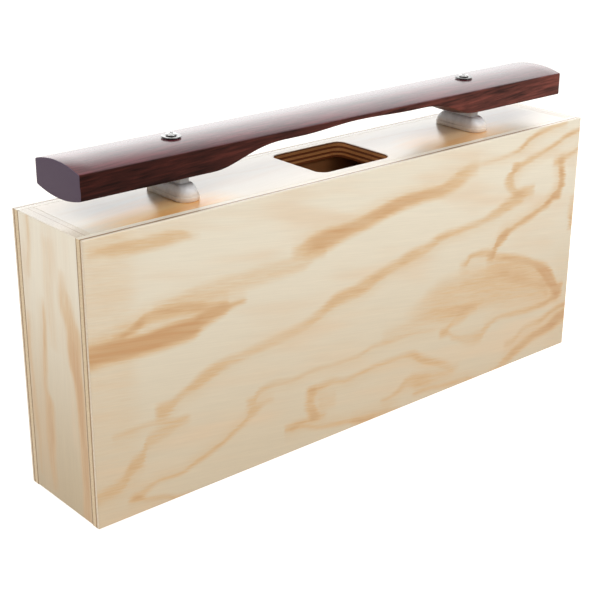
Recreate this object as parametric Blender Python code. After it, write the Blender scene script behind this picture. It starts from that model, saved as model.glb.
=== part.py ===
"""Resonator bar: one tuned rosewood bar on two elastomer pads, over a plywood box with a sound hole.

Metres, +Z up. The origin is on the ground under the middle of the box. +X runs along the bar,
and -Y is the side with the front panel. Everything follows from the sizes below.
"""

import math

import bmesh
import bpy
from mathutils import Vector

# Clearances
JOINT_GAP = 0.0003  # between two glued panels
SEAT_GAP = 0.0003  # between pieces that rest on each other or pass through each other
BAR_LIFT = 0.0005  # how far the bar can rise before it meets the washers
SLEEVE_PLAY = 0.0008  # between a sleeve and the wall of the bar's hole
PILOT_SPARE = 0.0009  # depth of pilot hole left under a screw's point
POINT_COVER = 0.0025  # thickness of top panel left under a screw's point

# Resonance box
BOX_LENGTH = 0.550
BOX_DEPTH = 0.099
BOX_HEIGHT = 0.2325
FACE_THICKNESS = 0.0090  # front and back panels
END_THICKNESS = 0.0130
TOP_THICKNESS = 0.0140
BOTTOM_THICKNESS = 0.0100
EDGE_EASE = 0.0009  # sanded round on the box's outer edges

# Sound hole, a rectangle with round corners near the middle of the top panel
HOLE_LENGTH = 0.0798
HOLE_MARGIN = 0.0065  # width of top panel left at the front and the back, before the hole moves aside
HOLE_ASIDE_X = 0.0028  # the hole isn't cut quite in the middle of the panel
HOLE_ASIDE_Y = 0.0017
HOLE_CORNER = 0.0090
HOLE_EASE = 0.0005

# Tone bar
BAR_LENGTH = 0.5268
BAR_WIDTH = 0.060
BAR_SIDE = 0.0196  # height of its straight side
TOP_CROWN = 0.0044  # rise of the upper face across the width
UNDER_CROWN = 0.0044  # drop of the lower face across the width, over the pads and at the ends
BAR_CORNER = 0.0010  # rounding between the sides and the crowned faces
BAR_END_EASE = 0.0006
STILL_POINT_INSET = 0.1009  # from the bar's end to its still point, where the screw and the pad are

# Tuning undercut: a ramp down to a shoulder on each side, and a second arch in the middle
LEFT_SHOULDER_SIDE = 0.0065  # height of the straight side that is left over the left shoulder
RIGHT_SHOULDER_SIDE = 0.0051
THIN_SIDE = 0.0034  # the same at the middle of the arch
LEFT_SETBACK = 0.0185  # from the still point to where the undercut begins
RIGHT_SETBACK = 0.0111
UNDERCUT_RAMP = 0.0730
RAMP_LEAD = 1.28  # 1 is an even half wave, and more is steeper where the ramp begins
ARCH_REACH = 0.0640  # from the arch's middle to where it ends
ARCH_ASIDE = 0.0060  # the arch's middle lies this far to the right of the bar's
CROWN_FADE = 1.7  # how fast the lower crown dies out along the ramp

# Support pad: a foot, a domed body, and a narrow seat shaped to the bar's underside
PAD_LENGTH = 0.0545
PAD_WIDTH = 0.0204
PAD_CORNER = 0.0092
FOOT_HEIGHT = 0.0039
FOOT_STEP = 0.0008  # how far the foot stands out past the body
DOME_RISE = 0.0083
DOME_SLACK = 0.75  # 1 is an elliptical dome, and less slopes more evenly
SEAT_LENGTH = 0.0325
SEAT_WIDTH = 0.0098
SEAT_CORNER = 0.0020
SEAT_RISE = 0.0039  # the seat's rise above its shoulder, on the bar's middle line
END_LEDGE = 0.0016  # width of the shoulder at the ends of the seat
SIDE_LEDGE = 0.0010  # width of the shoulder beside the seat

# Screw, washer, and the sleeve round the screw
SHANK_DIAMETER = 0.0044
POINT_LENGTH = 0.0035
HEAD_DIAMETER = 0.0088
HEAD_HEIGHT = 0.0017
HEAD_RIM = 0.0005  # height of the head's upright rim, under the dome
HEAD_FLATNESS = 0.7  # 1 is an elliptical dome, and less is flatter on top
RECESS_SPAN = 0.0046
RECESS_SLOT = 0.0012
RECESS_DEPTH = 0.0010
WASHER_DIAMETER = 0.0158
WASHER_THICKNESS = 0.0008
WASHER_EASE = 0.0003
SLEEVE_WALL = 0.0007

# What follows from the sizes above
INNER_HALF_DEPTH = BOX_DEPTH / 2 - FACE_THICKNESS
HOLE_WIDTH = 2 * (INNER_HALF_DEPTH - JOINT_GAP - HOLE_MARGIN)
STILL_POINT_X = BAR_LENGTH / 2 - STILL_POINT_INSET
LEFT_UNDERCUT_X = STILL_POINT_X - LEFT_SETBACK
RIGHT_UNDERCUT_X = STILL_POINT_X - RIGHT_SETBACK
SHANK_BORE = SHANK_DIAMETER + 2 * SEAT_GAP
SLEEVE_DIAMETER = SHANK_BORE + 2 * SLEEVE_WALL
BAR_HOLE = SLEEVE_DIAMETER + 2 * SLEEVE_PLAY
BAR_HEIGHT = UNDER_CROWN + BAR_SIDE + TOP_CROWN

# Heights above the top panel, from the pad up to the screw's head
PAD_Z = SEAT_GAP
SHOULDER_Z = PAD_Z + FOOT_HEIGHT + DOME_RISE
SEAT_Z = SHOULDER_Z + SEAT_RISE
BAR_Z = SEAT_Z + SEAT_GAP
SLEEVE_Z = SEAT_Z + SEAT_GAP
WASHER_Z = BAR_Z + BAR_HEIGHT + BAR_LIFT + SEAT_GAP
HEAD_Z = WASHER_Z + WASHER_THICKNESS + SEAT_GAP
SCREW_LENGTH = HEAD_Z + TOP_THICKNESS - POINT_COVER  # under its head

# How finely round shapes are made
ARC_STEPS = 6
EASE_STEPS = 3  # of a small rounding
SIDE_STEPS = 8
TURN_STEPS = 40
RAMP_STEPS = 12
ARCH_STEPS = 6
CROWN_STEPS = 16
CORNER_SHARE = 0.48  # a rounding takes at most this share of the side it is on
CUTTER_REACH = 0.005  # how far a cutter goes past the faces that it cuts
PLACE_DIGITS = 5  # two sections of the bar that agree to this many digits are one
SMOOTH_ANGLE = math.radians(35)
MERGE_DISTANCE = 1e-6

# Colour, roughness and metallic value
FINISHES = {
    "pine_plywood": ((0.78, 0.66, 0.48), 0.55, 0.0),
    "rosewood": ((0.12, 0.035, 0.028), 0.30, 0.0),
    "pale_elastomer": ((0.72, 0.71, 0.68), 0.45, 0.0),
    "bright_zinc": ((0.80, 0.80, 0.79), 0.22, 1.0),
    "black_rubber": ((0.03, 0.03, 0.03), 0.70, 0.0),
}


def clear_scene():
    for obj in list(bpy.data.objects):
        bpy.data.objects.remove(obj, do_unlink=True)


def finish(node, name):
    """A material of this finish for one node."""
    colour, roughness, metallic = FINISHES[name]
    material = bpy.data.materials.new(node + "_" + name)
    material.use_nodes = True
    shader = material.node_tree.nodes["Principled BSDF"]
    shader.inputs["Base Color"].default_value = (*colour, 1.0)
    shader.inputs["Roughness"].default_value = roughness
    shader.inputs["Metallic"].default_value = metallic
    material.diffuse_color = (*colour, 1.0)
    return material


def link(obj, place, parent):
    """Puts an object into the scene at a place that counts from its parent."""
    obj.location = place
    obj.parent = parent
    bpy.context.scene.collection.objects.link(obj)
    return obj


def add_empty(name, place, parent=None):
    return link(bpy.data.objects.new(name, None), place, parent)


def add_solid(name, bm, finish_name, place, parent):
    """Turns a bmesh into a named piece, shaded smooth except at its sharp edges."""
    bmesh.ops.recalc_face_normals(bm, faces=bm.faces)
    mesh = bpy.data.meshes.new(name)
    bm.to_mesh(mesh)
    bm.free()
    mesh.shade_smooth()
    mesh.set_sharp_from_angle(angle=SMOOTH_ANGLE)
    if finish_name:
        mesh.materials.append(finish(name, finish_name))
    return link(bpy.data.objects.new(name, mesh), place, parent)


def cut(target, name, bm, place, parent):
    """Subtracts a shape from a piece, and keeps the shape as a hidden guide."""
    cutter = add_solid(name, bm, None, place, parent)
    cutter.hide_render = True
    cutter.display_type = "WIRE"
    modifier = target.modifiers.new("cut_" + name, "BOOLEAN")
    modifier.operation = "DIFFERENCE"
    modifier.solver = "EXACT"
    modifier.object = cutter


def loft(loops, ring=False):
    """Skins a row of equal loops of points, and caps its ends or, as a ring, joins last to first."""
    bm = bmesh.new()
    rows = [[bm.verts.new(point) for point in loop] for loop in loops]
    pairs = list(zip(rows, rows[1:]))
    if ring:
        pairs.append((rows[-1], rows[0]))
    else:
        bm.faces.new(rows[0])
        bm.faces.new(rows[-1])
    for here, there in pairs:
        for i in range(len(here)):
            j = (i + 1) % len(here)
            bm.faces.new((here[i], here[j], there[j], there[i]))
    return bm


def turned(profile):
    """Spins (radius, height) points round Z. A profile off the axis is closed into a ring."""
    bm = bmesh.new()
    verts = [bm.verts.new((radius, 0.0, height)) for radius, height in profile]
    edges = [bm.edges.new(pair) for pair in zip(verts, verts[1:])]
    if profile[0][0] > 0.0:
        edges.append(bm.edges.new((verts[-1], verts[0])))
    bmesh.ops.spin(
        bm,
        geom=verts + edges,
        cent=(0.0, 0.0, 0.0),
        axis=(0.0, 0.0, 1.0),
        angle=2 * math.pi,
        steps=TURN_STEPS,
        use_duplicate=False,
    )
    bmesh.ops.remove_doubles(bm, verts=bm.verts, dist=MERGE_DISTANCE)
    return bm


def drill(diameter, low, high):
    """A round cutter along Z."""
    radius = diameter / 2
    return turned([(0.0, low), (radius, low), (radius, high), (0.0, high)])


def soft_rectangle(size_x, size_y, corner, z, side_steps=1):
    """A loop of points with round corners. Its long sides, along Y, are cut into side_steps.

    z is a height, or a function that gives the height at each y.
    """
    radius = min(corner, CORNER_SHARE * min(size_x, size_y))
    points = []
    for quarter, (way_x, way_y) in enumerate(((1, 1), (-1, 1), (-1, -1), (1, -1))):
        centre_x = way_x * (size_x / 2 - radius)
        centre_y = way_y * (size_y / 2 - radius)
        for step in range(ARC_STEPS + 1):
            angle = math.pi / 2 * (quarter + step / ARC_STEPS)
            points.append((centre_x + radius * math.cos(angle), centre_y + radius * math.sin(angle)))
        if way_x != way_y:
            for step in range(1, side_steps):
                points.append((way_x * size_x / 2, centre_y * (1 - 2 * step / side_steps)))
    return [(x, y, z(y) if callable(z) else z) for x, y in points]


def board(name, low, high, box, eased=None):
    """A plywood panel between two corners.

    eased says which edges are sanded round: it gets each edge's middle, in half sizes of the panel.
    """
    bm = bmesh.new()
    bmesh.ops.create_cube(bm, size=2.0)
    worn = [edge for edge in bm.edges if eased and eased((edge.verts[0].co + edge.verts[1].co) / 2)]
    bmesh.ops.scale(bm, verts=bm.verts, vec=[(b - a) / 2 for a, b in zip(low, high)])
    if worn:
        bmesh.ops.bevel(
            bm, geom=worn, offset=EDGE_EASE, segments=EASE_STEPS, profile=0.5, affect="EDGES"
        )
    return add_solid(name, bm, "pine_plywood", [(a + b) / 2 for a, b in zip(low, high)], box)


def face_panel(name, side, box):
    """The front panel (side -1) or the back one (1), which covers the edges of all the others."""
    x = BOX_LENGTH / 2
    outer_y, inner_y = side * BOX_DEPTH / 2, side * INNER_HALF_DEPTH
    low = (-x, min(outer_y, inner_y), 0.0)
    high = (x, max(outer_y, inner_y), BOX_HEIGHT)
    board(name, low, high, box, lambda middle: middle.y == side)


def end_panel(name, side, box):
    """The left end (side -1) or the right one (1), upright between the front and back panels."""
    y = INNER_HALF_DEPTH - JOINT_GAP
    outer_x, inner_x = side * BOX_LENGTH / 2, side * (BOX_LENGTH / 2 - END_THICKNESS)
    low = (min(outer_x, inner_x), -y, 0.0)
    high = (max(outer_x, inner_x), y, BOX_HEIGHT)
    board(name, low, high, box, lambda middle: middle.x == side and middle.z != 0)


def level_panel(name, low_z, high_z, box):
    """A panel that lies between the other four."""
    x = BOX_LENGTH / 2 - END_THICKNESS - JOINT_GAP
    y = INNER_HALF_DEPTH - JOINT_GAP
    return board(name, (-x, -y, low_z), (x, y, high_z), box)


def sound_hole():
    """The hole's cutter: straight walls, and a fine chamfer round the upper rim."""

    def level(z, wider):
        length, width = HOLE_LENGTH + 2 * wider, HOLE_WIDTH + 2 * wider
        return soft_rectangle(length, width, HOLE_CORNER + wider, z)

    return loft(
        [
            level(-TOP_THICKNESS - CUTTER_REACH, 0.0),
            level(-HOLE_EASE, 0.0),
            level(HOLE_EASE, 2 * HOLE_EASE),
            level(CUTTER_REACH, 2 * HOLE_EASE),
        ]
    )


def build_box():
    box = add_empty("resonance_box", (0.0, 0.0, 0.0))
    face_panel("front_panel", -1, box)
    face_panel("back_panel", 1, box)
    end_panel("left_end_panel", -1, box)
    end_panel("right_end_panel", 1, box)
    level_panel("bottom_panel", 0.0, BOTTOM_THICKNESS, box)
    top = level_panel("top_panel", BOX_HEIGHT - TOP_THICKNESS, BOX_HEIGHT, box)
    cut(top, "sound_hole_cutter", sound_hole(), (HOLE_ASIDE_X, HOLE_ASIDE_Y, BOX_HEIGHT), box)
    pilot_depth = TOP_THICKNESS - POINT_COVER + PILOT_SPARE
    for side, x in supports():
        pilot = drill(SHANK_BORE, -pilot_depth, CUTTER_REACH)
        cut(top, side + "_pilot_drill", pilot, (x, 0.0, BOX_HEIGHT), box)


def supports():
    """The two places along the bar where it is held."""
    return (("left", -STILL_POINT_X), ("right", STILL_POINT_X))


def clamp(value):
    return min(1.0, max(0.0, value))


def half_wave(part):
    """A smooth change from 0 to 1, level at both ends."""
    return (1 - math.cos(math.pi * clamp(part))) / 2


def undercut(x):
    """How much of the way down to a shoulder is reached at x: 0 outside the undercut, 1 inside."""
    reach = LEFT_UNDERCUT_X if x < 0 else RIGHT_UNDERCUT_X
    part = clamp((reach - abs(x)) / UNDERCUT_RAMP)
    return half_wave(1 - (1 - part) ** RAMP_LEAD)


def side_over(x):
    """Height of the bar's straight side at x."""
    shoulder = LEFT_SHOULDER_SIDE if x < ARCH_ASIDE else RIGHT_SHOULDER_SIDE
    arch = half_wave(1 - abs(x - ARCH_ASIDE) / ARCH_REACH)
    return BAR_SIDE - (BAR_SIDE - shoulder) * undercut(x) - (shoulder - THIN_SIDE) * arch


def across(y):
    """1 on the bar's middle line, falling to 0 at its sides along a parabola."""
    return 1 - (2 * y / BAR_WIDTH) ** 2


def upper_face(y):
    return UNDER_CROWN + BAR_SIDE + TOP_CROWN * across(y)


def lower_face(x, y):
    """The underside is crowned over the pads, and flat across where it is thinned."""
    crown = UNDER_CROWN * (1 - undercut(x)) ** CROWN_FADE
    return UNDER_CROWN + BAR_SIDE - side_over(x) - crown * across(y)


def rounded(before, corner, after, reach):
    """Points of a curve that rounds a corner, starting and ending reach away from it."""
    before, corner, after = Vector(before), Vector(corner), Vector(after)
    start = corner + (before - corner).normalized() * reach
    end = corner + (after - corner).normalized() * reach
    points = []
    for step in range(EASE_STEPS + 1):
        t = step / EASE_STEPS
        points.append(start * (1 - t) ** 2 + corner * 2 * t * (1 - t) + end * t**2)
    return points


def bar_section(x, inset):
    """The bar's outline at one place along it: over the top, then back along the underside."""
    half = BAR_WIDTH / 2
    top_z, low_z = upper_face(half), lower_face(x, half)
    reach = min(BAR_CORNER, CORNER_SHARE * (top_z - low_z))
    run = half - 2 * reach
    rows = [run * (1 - 2 * step / CROWN_STEPS) for step in range(CROWN_STEPS + 1)]
    top = [Vector((y, upper_face(y))) for y in rows]
    under = [Vector((y, lower_face(x, y))) for y in reversed(rows)]
    middle_z = (top_z + low_z) / 2
    outline = top + rounded(top[-1], (-half, top_z), (-half, middle_z), reach)
    outline += rounded((-half, middle_z), (-half, low_z), under[0], reach)
    outline += under + rounded(under[-1], (half, low_z), (half, middle_z), reach)
    outline += rounded((half, middle_z), (half, top_z), top[0], reach)
    shrink_y = 1 - inset / half
    shrink_z = 1 - 2 * inset / BAR_HEIGHT
    centre = BAR_HEIGHT / 2
    return [(x, y * shrink_y, centre + (z - centre) * shrink_z) for y, z in outline]


def build_bar(stand):
    """A loft of sections that stand closer together along the ramps and the middle arch."""
    ramp_stride, arch_stride = UNDERCUT_RAMP / RAMP_STEPS, ARCH_REACH / ARCH_STEPS
    places = []
    for way, reach in ((-1, LEFT_UNDERCUT_X), (1, RIGHT_UNDERCUT_X)):
        places += [way * BAR_LENGTH / 2, way * (BAR_LENGTH / 2 - BAR_END_EASE)]
        places += [way * (reach - ramp_stride * step) for step in range(-1, RAMP_STEPS + 1)]
        places += [ARCH_ASIDE + way * arch_stride * step for step in range(ARCH_STEPS + 1)]
    places = sorted({round(x, PLACE_DIGITS) for x in places})
    ends = (places[0], places[-1])
    sections = [bar_section(x, BAR_END_EASE if x in ends else 0.0) for x in places]
    bar = add_solid("tone_bar", loft(sections), "rosewood", (0.0, 0.0, BAR_Z), stand)
    for side, x in supports():
        hole = drill(BAR_HOLE, -CUTTER_REACH, BAR_HEIGHT + CUTTER_REACH)
        cut(bar, side + "_bar_drill", hole, (x, 0.0, BAR_Z), stand)


def build_pad(name, support):
    """A moulded pad, lofted from its foot up to the seat and down again through its bore."""
    shoulder = FOOT_HEIGHT + DOME_RISE

    def seat(y):
        return shoulder + SEAT_RISE + UNDER_CROWN * (1 - across(y))

    def outline(size_x, size_y, corner, z):
        return soft_rectangle(size_x, size_y, corner, z, SIDE_STEPS)

    def blend(low, high, share):
        return low + (high - low) * share

    loops = [
        outline(PAD_WIDTH, PAD_LENGTH, PAD_CORNER, 0.0),
        outline(PAD_WIDTH, PAD_LENGTH, PAD_CORNER, FOOT_HEIGHT - FOOT_STEP),
    ]
    for step in range(ARC_STEPS + 1):
        angle = math.pi / 2 * step / ARC_STEPS
        drawn_in = (1 - math.cos(angle)) ** DOME_SLACK
        loops.append(
            outline(
                blend(PAD_WIDTH - 2 * FOOT_STEP, SEAT_WIDTH + 2 * SIDE_LEDGE, drawn_in),
                blend(PAD_LENGTH - 2 * FOOT_STEP, SEAT_LENGTH + 2 * END_LEDGE, drawn_in),
                blend(PAD_CORNER - FOOT_STEP, SEAT_CORNER + SIDE_LEDGE, drawn_in),
                FOOT_HEIGHT + DOME_RISE * math.sin(angle),
            )
        )
    rim = outline(SEAT_WIDTH, SEAT_LENGTH, SEAT_CORNER, seat)
    bore = []
    for x, y, z in rim:
        shrink = SHANK_BORE / 2 / math.hypot(x, y)
        bore.append((x * shrink, y * shrink))
    loops += [outline(SEAT_WIDTH, SEAT_LENGTH, SEAT_CORNER, shoulder), rim]
    for share in (1 / 3, 2 / 3, 1.0):
        between = [(blend(x, bx, share), blend(y, by, share)) for (x, y, z), (bx, by) in zip(rim, bore)]
        loops.append([(x, y, seat(y)) for x, y in between])
    loops.append([(x, y, 0.0) for x, y in bore])
    add_solid(name, loft(loops, ring=True), "pale_elastomer", (0.0, 0.0, PAD_Z), support)


def cross_recess():
    """The recess's cutter, a cross with its floor RECESS_DEPTH under the top of the head."""
    arm, half = RECESS_SPAN / 2, RECESS_SLOT / 2
    outline = []
    for way_x, way_y in ((1, 0), (0, 1), (-1, 0), (0, -1)):
        for along, aside in ((arm, -half), (arm, half), (half, half)):
            outline.append((along * way_x - aside * way_y, along * way_y + aside * way_x))
    heights = (HEAD_HEIGHT - RECESS_DEPTH, HEAD_HEIGHT + CUTTER_REACH)
    return loft([[(x, y, z) for x, y in outline] for z in heights])


def build_screw(name, support):
    """A pan head wood screw. Its local zero is the underside of the head."""
    shank, head = SHANK_DIAMETER / 2, HEAD_DIAMETER / 2
    profile = [(0.0, -SCREW_LENGTH), (shank, POINT_LENGTH - SCREW_LENGTH), (shank, 0.0), (head, 0.0)]
    for step in range(ARC_STEPS):
        angle = math.pi / 2 * step / ARC_STEPS
        height = HEAD_RIM + (HEAD_HEIGHT - HEAD_RIM) * math.sin(angle)
        profile.append((head * math.cos(angle) ** HEAD_FLATNESS, height))
    profile.append((0.0, HEAD_HEIGHT))
    screw = add_solid(name, turned(profile), "bright_zinc", (0.0, 0.0, HEAD_Z), support)
    cut(screw, name + "_driver", cross_recess(), (0.0, 0.0, HEAD_Z), support)


def build_washer(name, support):
    """A flat disc with rounded rims."""
    rim, hole = WASHER_DIAMETER / 2, SHANK_BORE / 2
    top, flat = WASHER_THICKNESS, rim - WASHER_EASE
    low, high = WASHER_EASE / 2, top - WASHER_EASE / 2
    profile = [(hole, 0.0), (flat, 0.0), (rim, low), (rim, high), (flat, top), (hole, top)]
    add_solid(name, turned(profile), "bright_zinc", (0.0, 0.0, WASHER_Z), support)


def build_sleeve(name, support):
    """A rubber tube that stands on the pad, keeps the bar off the screw and carries the washer."""
    inner, outer = SHANK_BORE / 2, SLEEVE_DIAMETER / 2
    height = WASHER_Z - SEAT_GAP - SLEEVE_Z
    profile = [(inner, 0.0), (outer, 0.0), (outer, height), (inner, height)]
    add_solid(name, turned(profile), "black_rubber", (0.0, 0.0, SLEEVE_Z), support)


def build():
    clear_scene()
    build_box()
    stand = add_empty("bar_stand", (0.0, 0.0, BOX_HEIGHT))
    build_bar(stand)
    for side, x in supports():
        support = add_empty(side + "_support", (x, 0.0, 0.0), stand)
        build_pad(side + "_support_pad", support)
        build_sleeve(side + "_screw_sleeve", support)
        build_washer(side + "_washer", support)
        build_screw(side + "_screw", support)


build()
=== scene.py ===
# %% [markdown]
# # A resonator bar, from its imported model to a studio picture
# One tuned rosewood bar lies on two elastomer pads above a pine plywood box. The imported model
# already holds every piece at its real size. This script gives the pieces their finish, and makes
# finer meshes of the ones whose form shows from close by: the bar, the pads and the hardware.
# Everything is in metres, with +Z up, +X along the bar and -Y towards the front panel.

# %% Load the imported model
import math

import bmesh
import bpy
from mathutils import Matrix, Vector


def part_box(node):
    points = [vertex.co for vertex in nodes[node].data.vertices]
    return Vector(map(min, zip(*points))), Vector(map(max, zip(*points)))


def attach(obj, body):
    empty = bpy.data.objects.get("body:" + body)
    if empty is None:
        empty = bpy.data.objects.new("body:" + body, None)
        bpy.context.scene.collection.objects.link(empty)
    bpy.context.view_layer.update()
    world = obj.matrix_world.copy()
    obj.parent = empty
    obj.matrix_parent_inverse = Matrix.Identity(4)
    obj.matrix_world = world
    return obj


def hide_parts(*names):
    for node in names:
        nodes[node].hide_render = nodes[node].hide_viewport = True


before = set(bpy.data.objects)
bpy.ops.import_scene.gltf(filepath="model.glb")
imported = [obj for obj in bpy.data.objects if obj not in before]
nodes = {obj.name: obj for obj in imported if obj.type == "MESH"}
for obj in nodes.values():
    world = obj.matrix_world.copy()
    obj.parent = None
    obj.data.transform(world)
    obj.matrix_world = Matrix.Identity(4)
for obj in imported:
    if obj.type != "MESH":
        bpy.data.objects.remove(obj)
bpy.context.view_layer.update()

# %% [markdown]
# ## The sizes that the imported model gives
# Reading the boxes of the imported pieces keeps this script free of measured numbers. What can't be
# read from a box, such as the shape of the undercut, is written here as a named size.

# %% Read the sizes
STAND, BAR = "stand", "bar"
box_low, box_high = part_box("front_panel")
BOX_LENGTH = box_high.x - box_low.x
BOX_HEIGHT = box_high.z - box_low.z
BOX_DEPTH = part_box("back_panel")[1].y - box_low.y
FACE_THICKNESS = box_high.y - box_low.y
END_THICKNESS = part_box("left_end_panel")[1].x - box_low.x
TOP_THICKNESS = BOX_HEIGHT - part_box("top_panel")[0].z

bar_low, bar_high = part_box("tone_bar")
pad_low, pad_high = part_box("right_support_pad")
PAD_X = (pad_low.x + pad_high.x) / 2
print("box", [round(v * 1000, 1) for v in (BOX_LENGTH, BOX_DEPTH, BOX_HEIGHT)], "mm")
print("bar", [round(v * 1000, 1) for v in bar_high - bar_low], "mm, pads at", round(PAD_X * 1000, 1))

# %% [markdown]
# ## The camera
# The photograph looks at the box from its left front corner, a little from above, through a long
# lens. A camera is placed by a matrix whose columns are its right, up and back directions.

# %% Place the camera
CAMERA_PLACE = Vector((-0.7262, -0.8062, 0.5388))
CAMERA_AZIMUTH = math.radians(40.487)
CAMERA_DOWN = math.radians(21.738)
CAMERA_ROLL = math.radians(0.222)
CAMERA_LENS = 80.58

sight = Vector(
    (
        math.sin(CAMERA_AZIMUTH) * math.cos(CAMERA_DOWN),
        math.cos(CAMERA_AZIMUTH) * math.cos(CAMERA_DOWN),
        -math.sin(CAMERA_DOWN),
    )
)
level = Vector((math.cos(CAMERA_AZIMUTH), -math.sin(CAMERA_AZIMUTH), 0.0))
upright = level.cross(sight)
turn = Matrix.Rotation(-CAMERA_ROLL, 3, sight)
camera_matrix = Matrix((turn @ level, turn @ upright, -sight)).transposed().to_4x4()
camera_matrix.translation = CAMERA_PLACE

camera_data = bpy.data.cameras.new("camera")
camera_data.lens = CAMERA_LENS
camera_data.sensor_width = 36.0
camera_data.clip_start = 0.01
camera = bpy.data.objects.new("camera", camera_data)
camera.matrix_world = camera_matrix
bpy.context.scene.collection.objects.link(camera)
bpy.context.scene.camera = camera
print("camera", round((CAMERA_PLACE - Vector((0, 0, BOX_HEIGHT / 2))).length, 3), "m from the box")

# %% [markdown]
# ## Writing node trees in a readable way
# A material is a graph of nodes. The small class below adds one node per call and hands back its
# output, so that a formula can be written almost as in mathematics. A plain number becomes the
# socket's own value, and another node's output becomes a link.


# %% A helper for node trees
class Tree:
    """Adds nodes to one node tree. Each call returns the new node's output."""

    def __init__(self, tree):
        self.tree = tree

    def put(self, socket, value):
        if isinstance(value, bpy.types.NodeSocket):
            self.tree.links.new(value, socket)
        elif value is not None:
            socket.default_value = value

    def node(self, kind, **settings):
        made = self.tree.nodes.new(kind)
        for name, value in settings.items():
            setattr(made, name, value)
        return made

    def math(self, operation, *values, clamp=False):
        made = self.node("ShaderNodeMath", operation=operation, use_clamp=clamp)
        for socket, value in zip(made.inputs, values):
            self.put(socket, value)
        return made.outputs[0]

    def vector(self, operation, *values):
        made = self.node("ShaderNodeVectorMath", operation=operation)
        for socket, value in zip(made.inputs, values):
            self.put(socket, value)
        return made.outputs["Value" if operation in ("DOT_PRODUCT", "LENGTH") else "Vector"]

    def combine(self, x=0.0, y=0.0, z=0.0):
        made = self.node("ShaderNodeCombineXYZ")
        for socket, value in zip(made.inputs, (x, y, z)):
            self.put(socket, value)
        return made.outputs[0]

    def separate(self, vector):
        made = self.node("ShaderNodeSeparateXYZ")
        self.put(made.inputs[0], vector)
        return made.outputs

    def noise(self, vector, scale=1.0, detail=2.0, roughness=0.5, distortion=0.0):
        made = self.node("ShaderNodeTexNoise")
        for name, value in (
            ("Vector", vector),
            ("Scale", scale),
            ("Detail", detail),
            ("Roughness", roughness),
            ("Distortion", distortion),
        ):
            self.put(made.inputs[name], value)
        return made.outputs

    def step(self, value, start, end, low=0.0, high=1.0):
        """A smooth change from low to high while value goes from start to end."""
        made = self.node("ShaderNodeMapRange", interpolation_type="SMOOTHSTEP")
        for socket, given in zip(made.inputs, (value, start, end, low, high)):
            self.put(socket, given)
        return made.outputs[0]

    def mix(self, share, first, second, blend="MIX"):
        made = self.node("ShaderNodeMix", data_type="RGBA", blend_type=blend)
        self.put(made.inputs[0], share)
        self.put(made.inputs[6], colour(first))
        self.put(made.inputs[7], colour(second))
        return made.outputs[2]

    def group(self, group, **values):
        """Places a node group. A name's underscores stand for the spaces of its sockets."""
        made = self.node("ShaderNodeGroup", node_tree=group)
        for name, value in values.items():
            self.put(made.inputs[name.replace("_", " ")], value)
        return made.outputs


def colour(value):
    """Three numbers as a colour with its fourth channel, and anything else as it is."""
    return (*value, 1.0) if isinstance(value, tuple) and len(value) == 3 else value


def new_group(name, inputs, outputs):
    """A node group with named sockets, each given as its name, kind and default."""
    group = bpy.data.node_groups.new(name, "ShaderNodeTree")
    for label, kind, default in inputs:
        socket = group.interface.new_socket(label, in_out="INPUT", socket_type="NodeSocket" + kind)
        if default is not None:
            socket.default_value = default
    for label, kind in outputs:
        group.interface.new_socket(label, in_out="OUTPUT", socket_type="NodeSocket" + kind)
    tree = Tree(group)
    given = tree.node("NodeGroupInput").outputs
    results = tree.node("NodeGroupOutput").inputs
    return group, tree, given, results


print("node helper ready")

# %% [markdown]
# ## How a year ring shows on peeled veneer
# Pine veneer is peeled from a turning log, so the knife runs almost along the year rings. Where it
# crosses one, the dark late wood shows as a line that is wide where the knife cut at a low angle
# and thin where it cut steeply. A noise texture gives only even clouds. Here each ring line gets a
# small table, a curve node, that says for each place along the sheet how high the line runs, how
# wide it is and how strong. One group then turns the distance from that line into a mask with a
# crisp core and a haze on one side, and every line of every panel uses it.

# %% Group: ring line
ring_group, t, given, results = new_group(
    "ring_line",
    [
        ("Offset", "Float", 0.0),
        ("Half Width", "Float", 0.003),
        ("Strength", "Float", 1.0),
        ("Hazy Side", "Float", 1.0),
    ],
    [("Mask", "Float")],
)
EDGE_BLUR = 0.0021
EDGE_SOFTNESS = 0.36
HAZE_REACH = 0.011
HAZE = 0.36
half = given["Half Width"]
blur = t.math("MULTIPLY_ADD", half, EDGE_SOFTNESS, EDGE_BLUR)
outside, inside = t.math("ADD", half, blur), t.math("SUBTRACT", half, blur)
core = t.step(t.math("ABSOLUTE", given["Offset"]), outside, inside)
toward = t.math("MULTIPLY", given["Offset"], given["Hazy Side"])
reach = t.math("MULTIPLY_ADD", half, 1.4, HAZE_REACH)
crisp_side = t.step(toward, t.math("MULTIPLY", outside, -1.0), t.math("MULTIPLY", inside, -1.0))
haze = t.math("MULTIPLY", t.step(toward, reach, 0.0, 0.0, HAZE), crisp_side)
t.put(results["Mask"], t.math("MULTIPLY", t.math("MAXIMUM", core, haze), given["Strength"]))
print("ring line group has", len(ring_group.nodes), "nodes")

# %% Ring lines from tables
WIDEST_LINE = 0.025
TAPER = 7.0  # millimetres in which a line fades out past its last point


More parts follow.
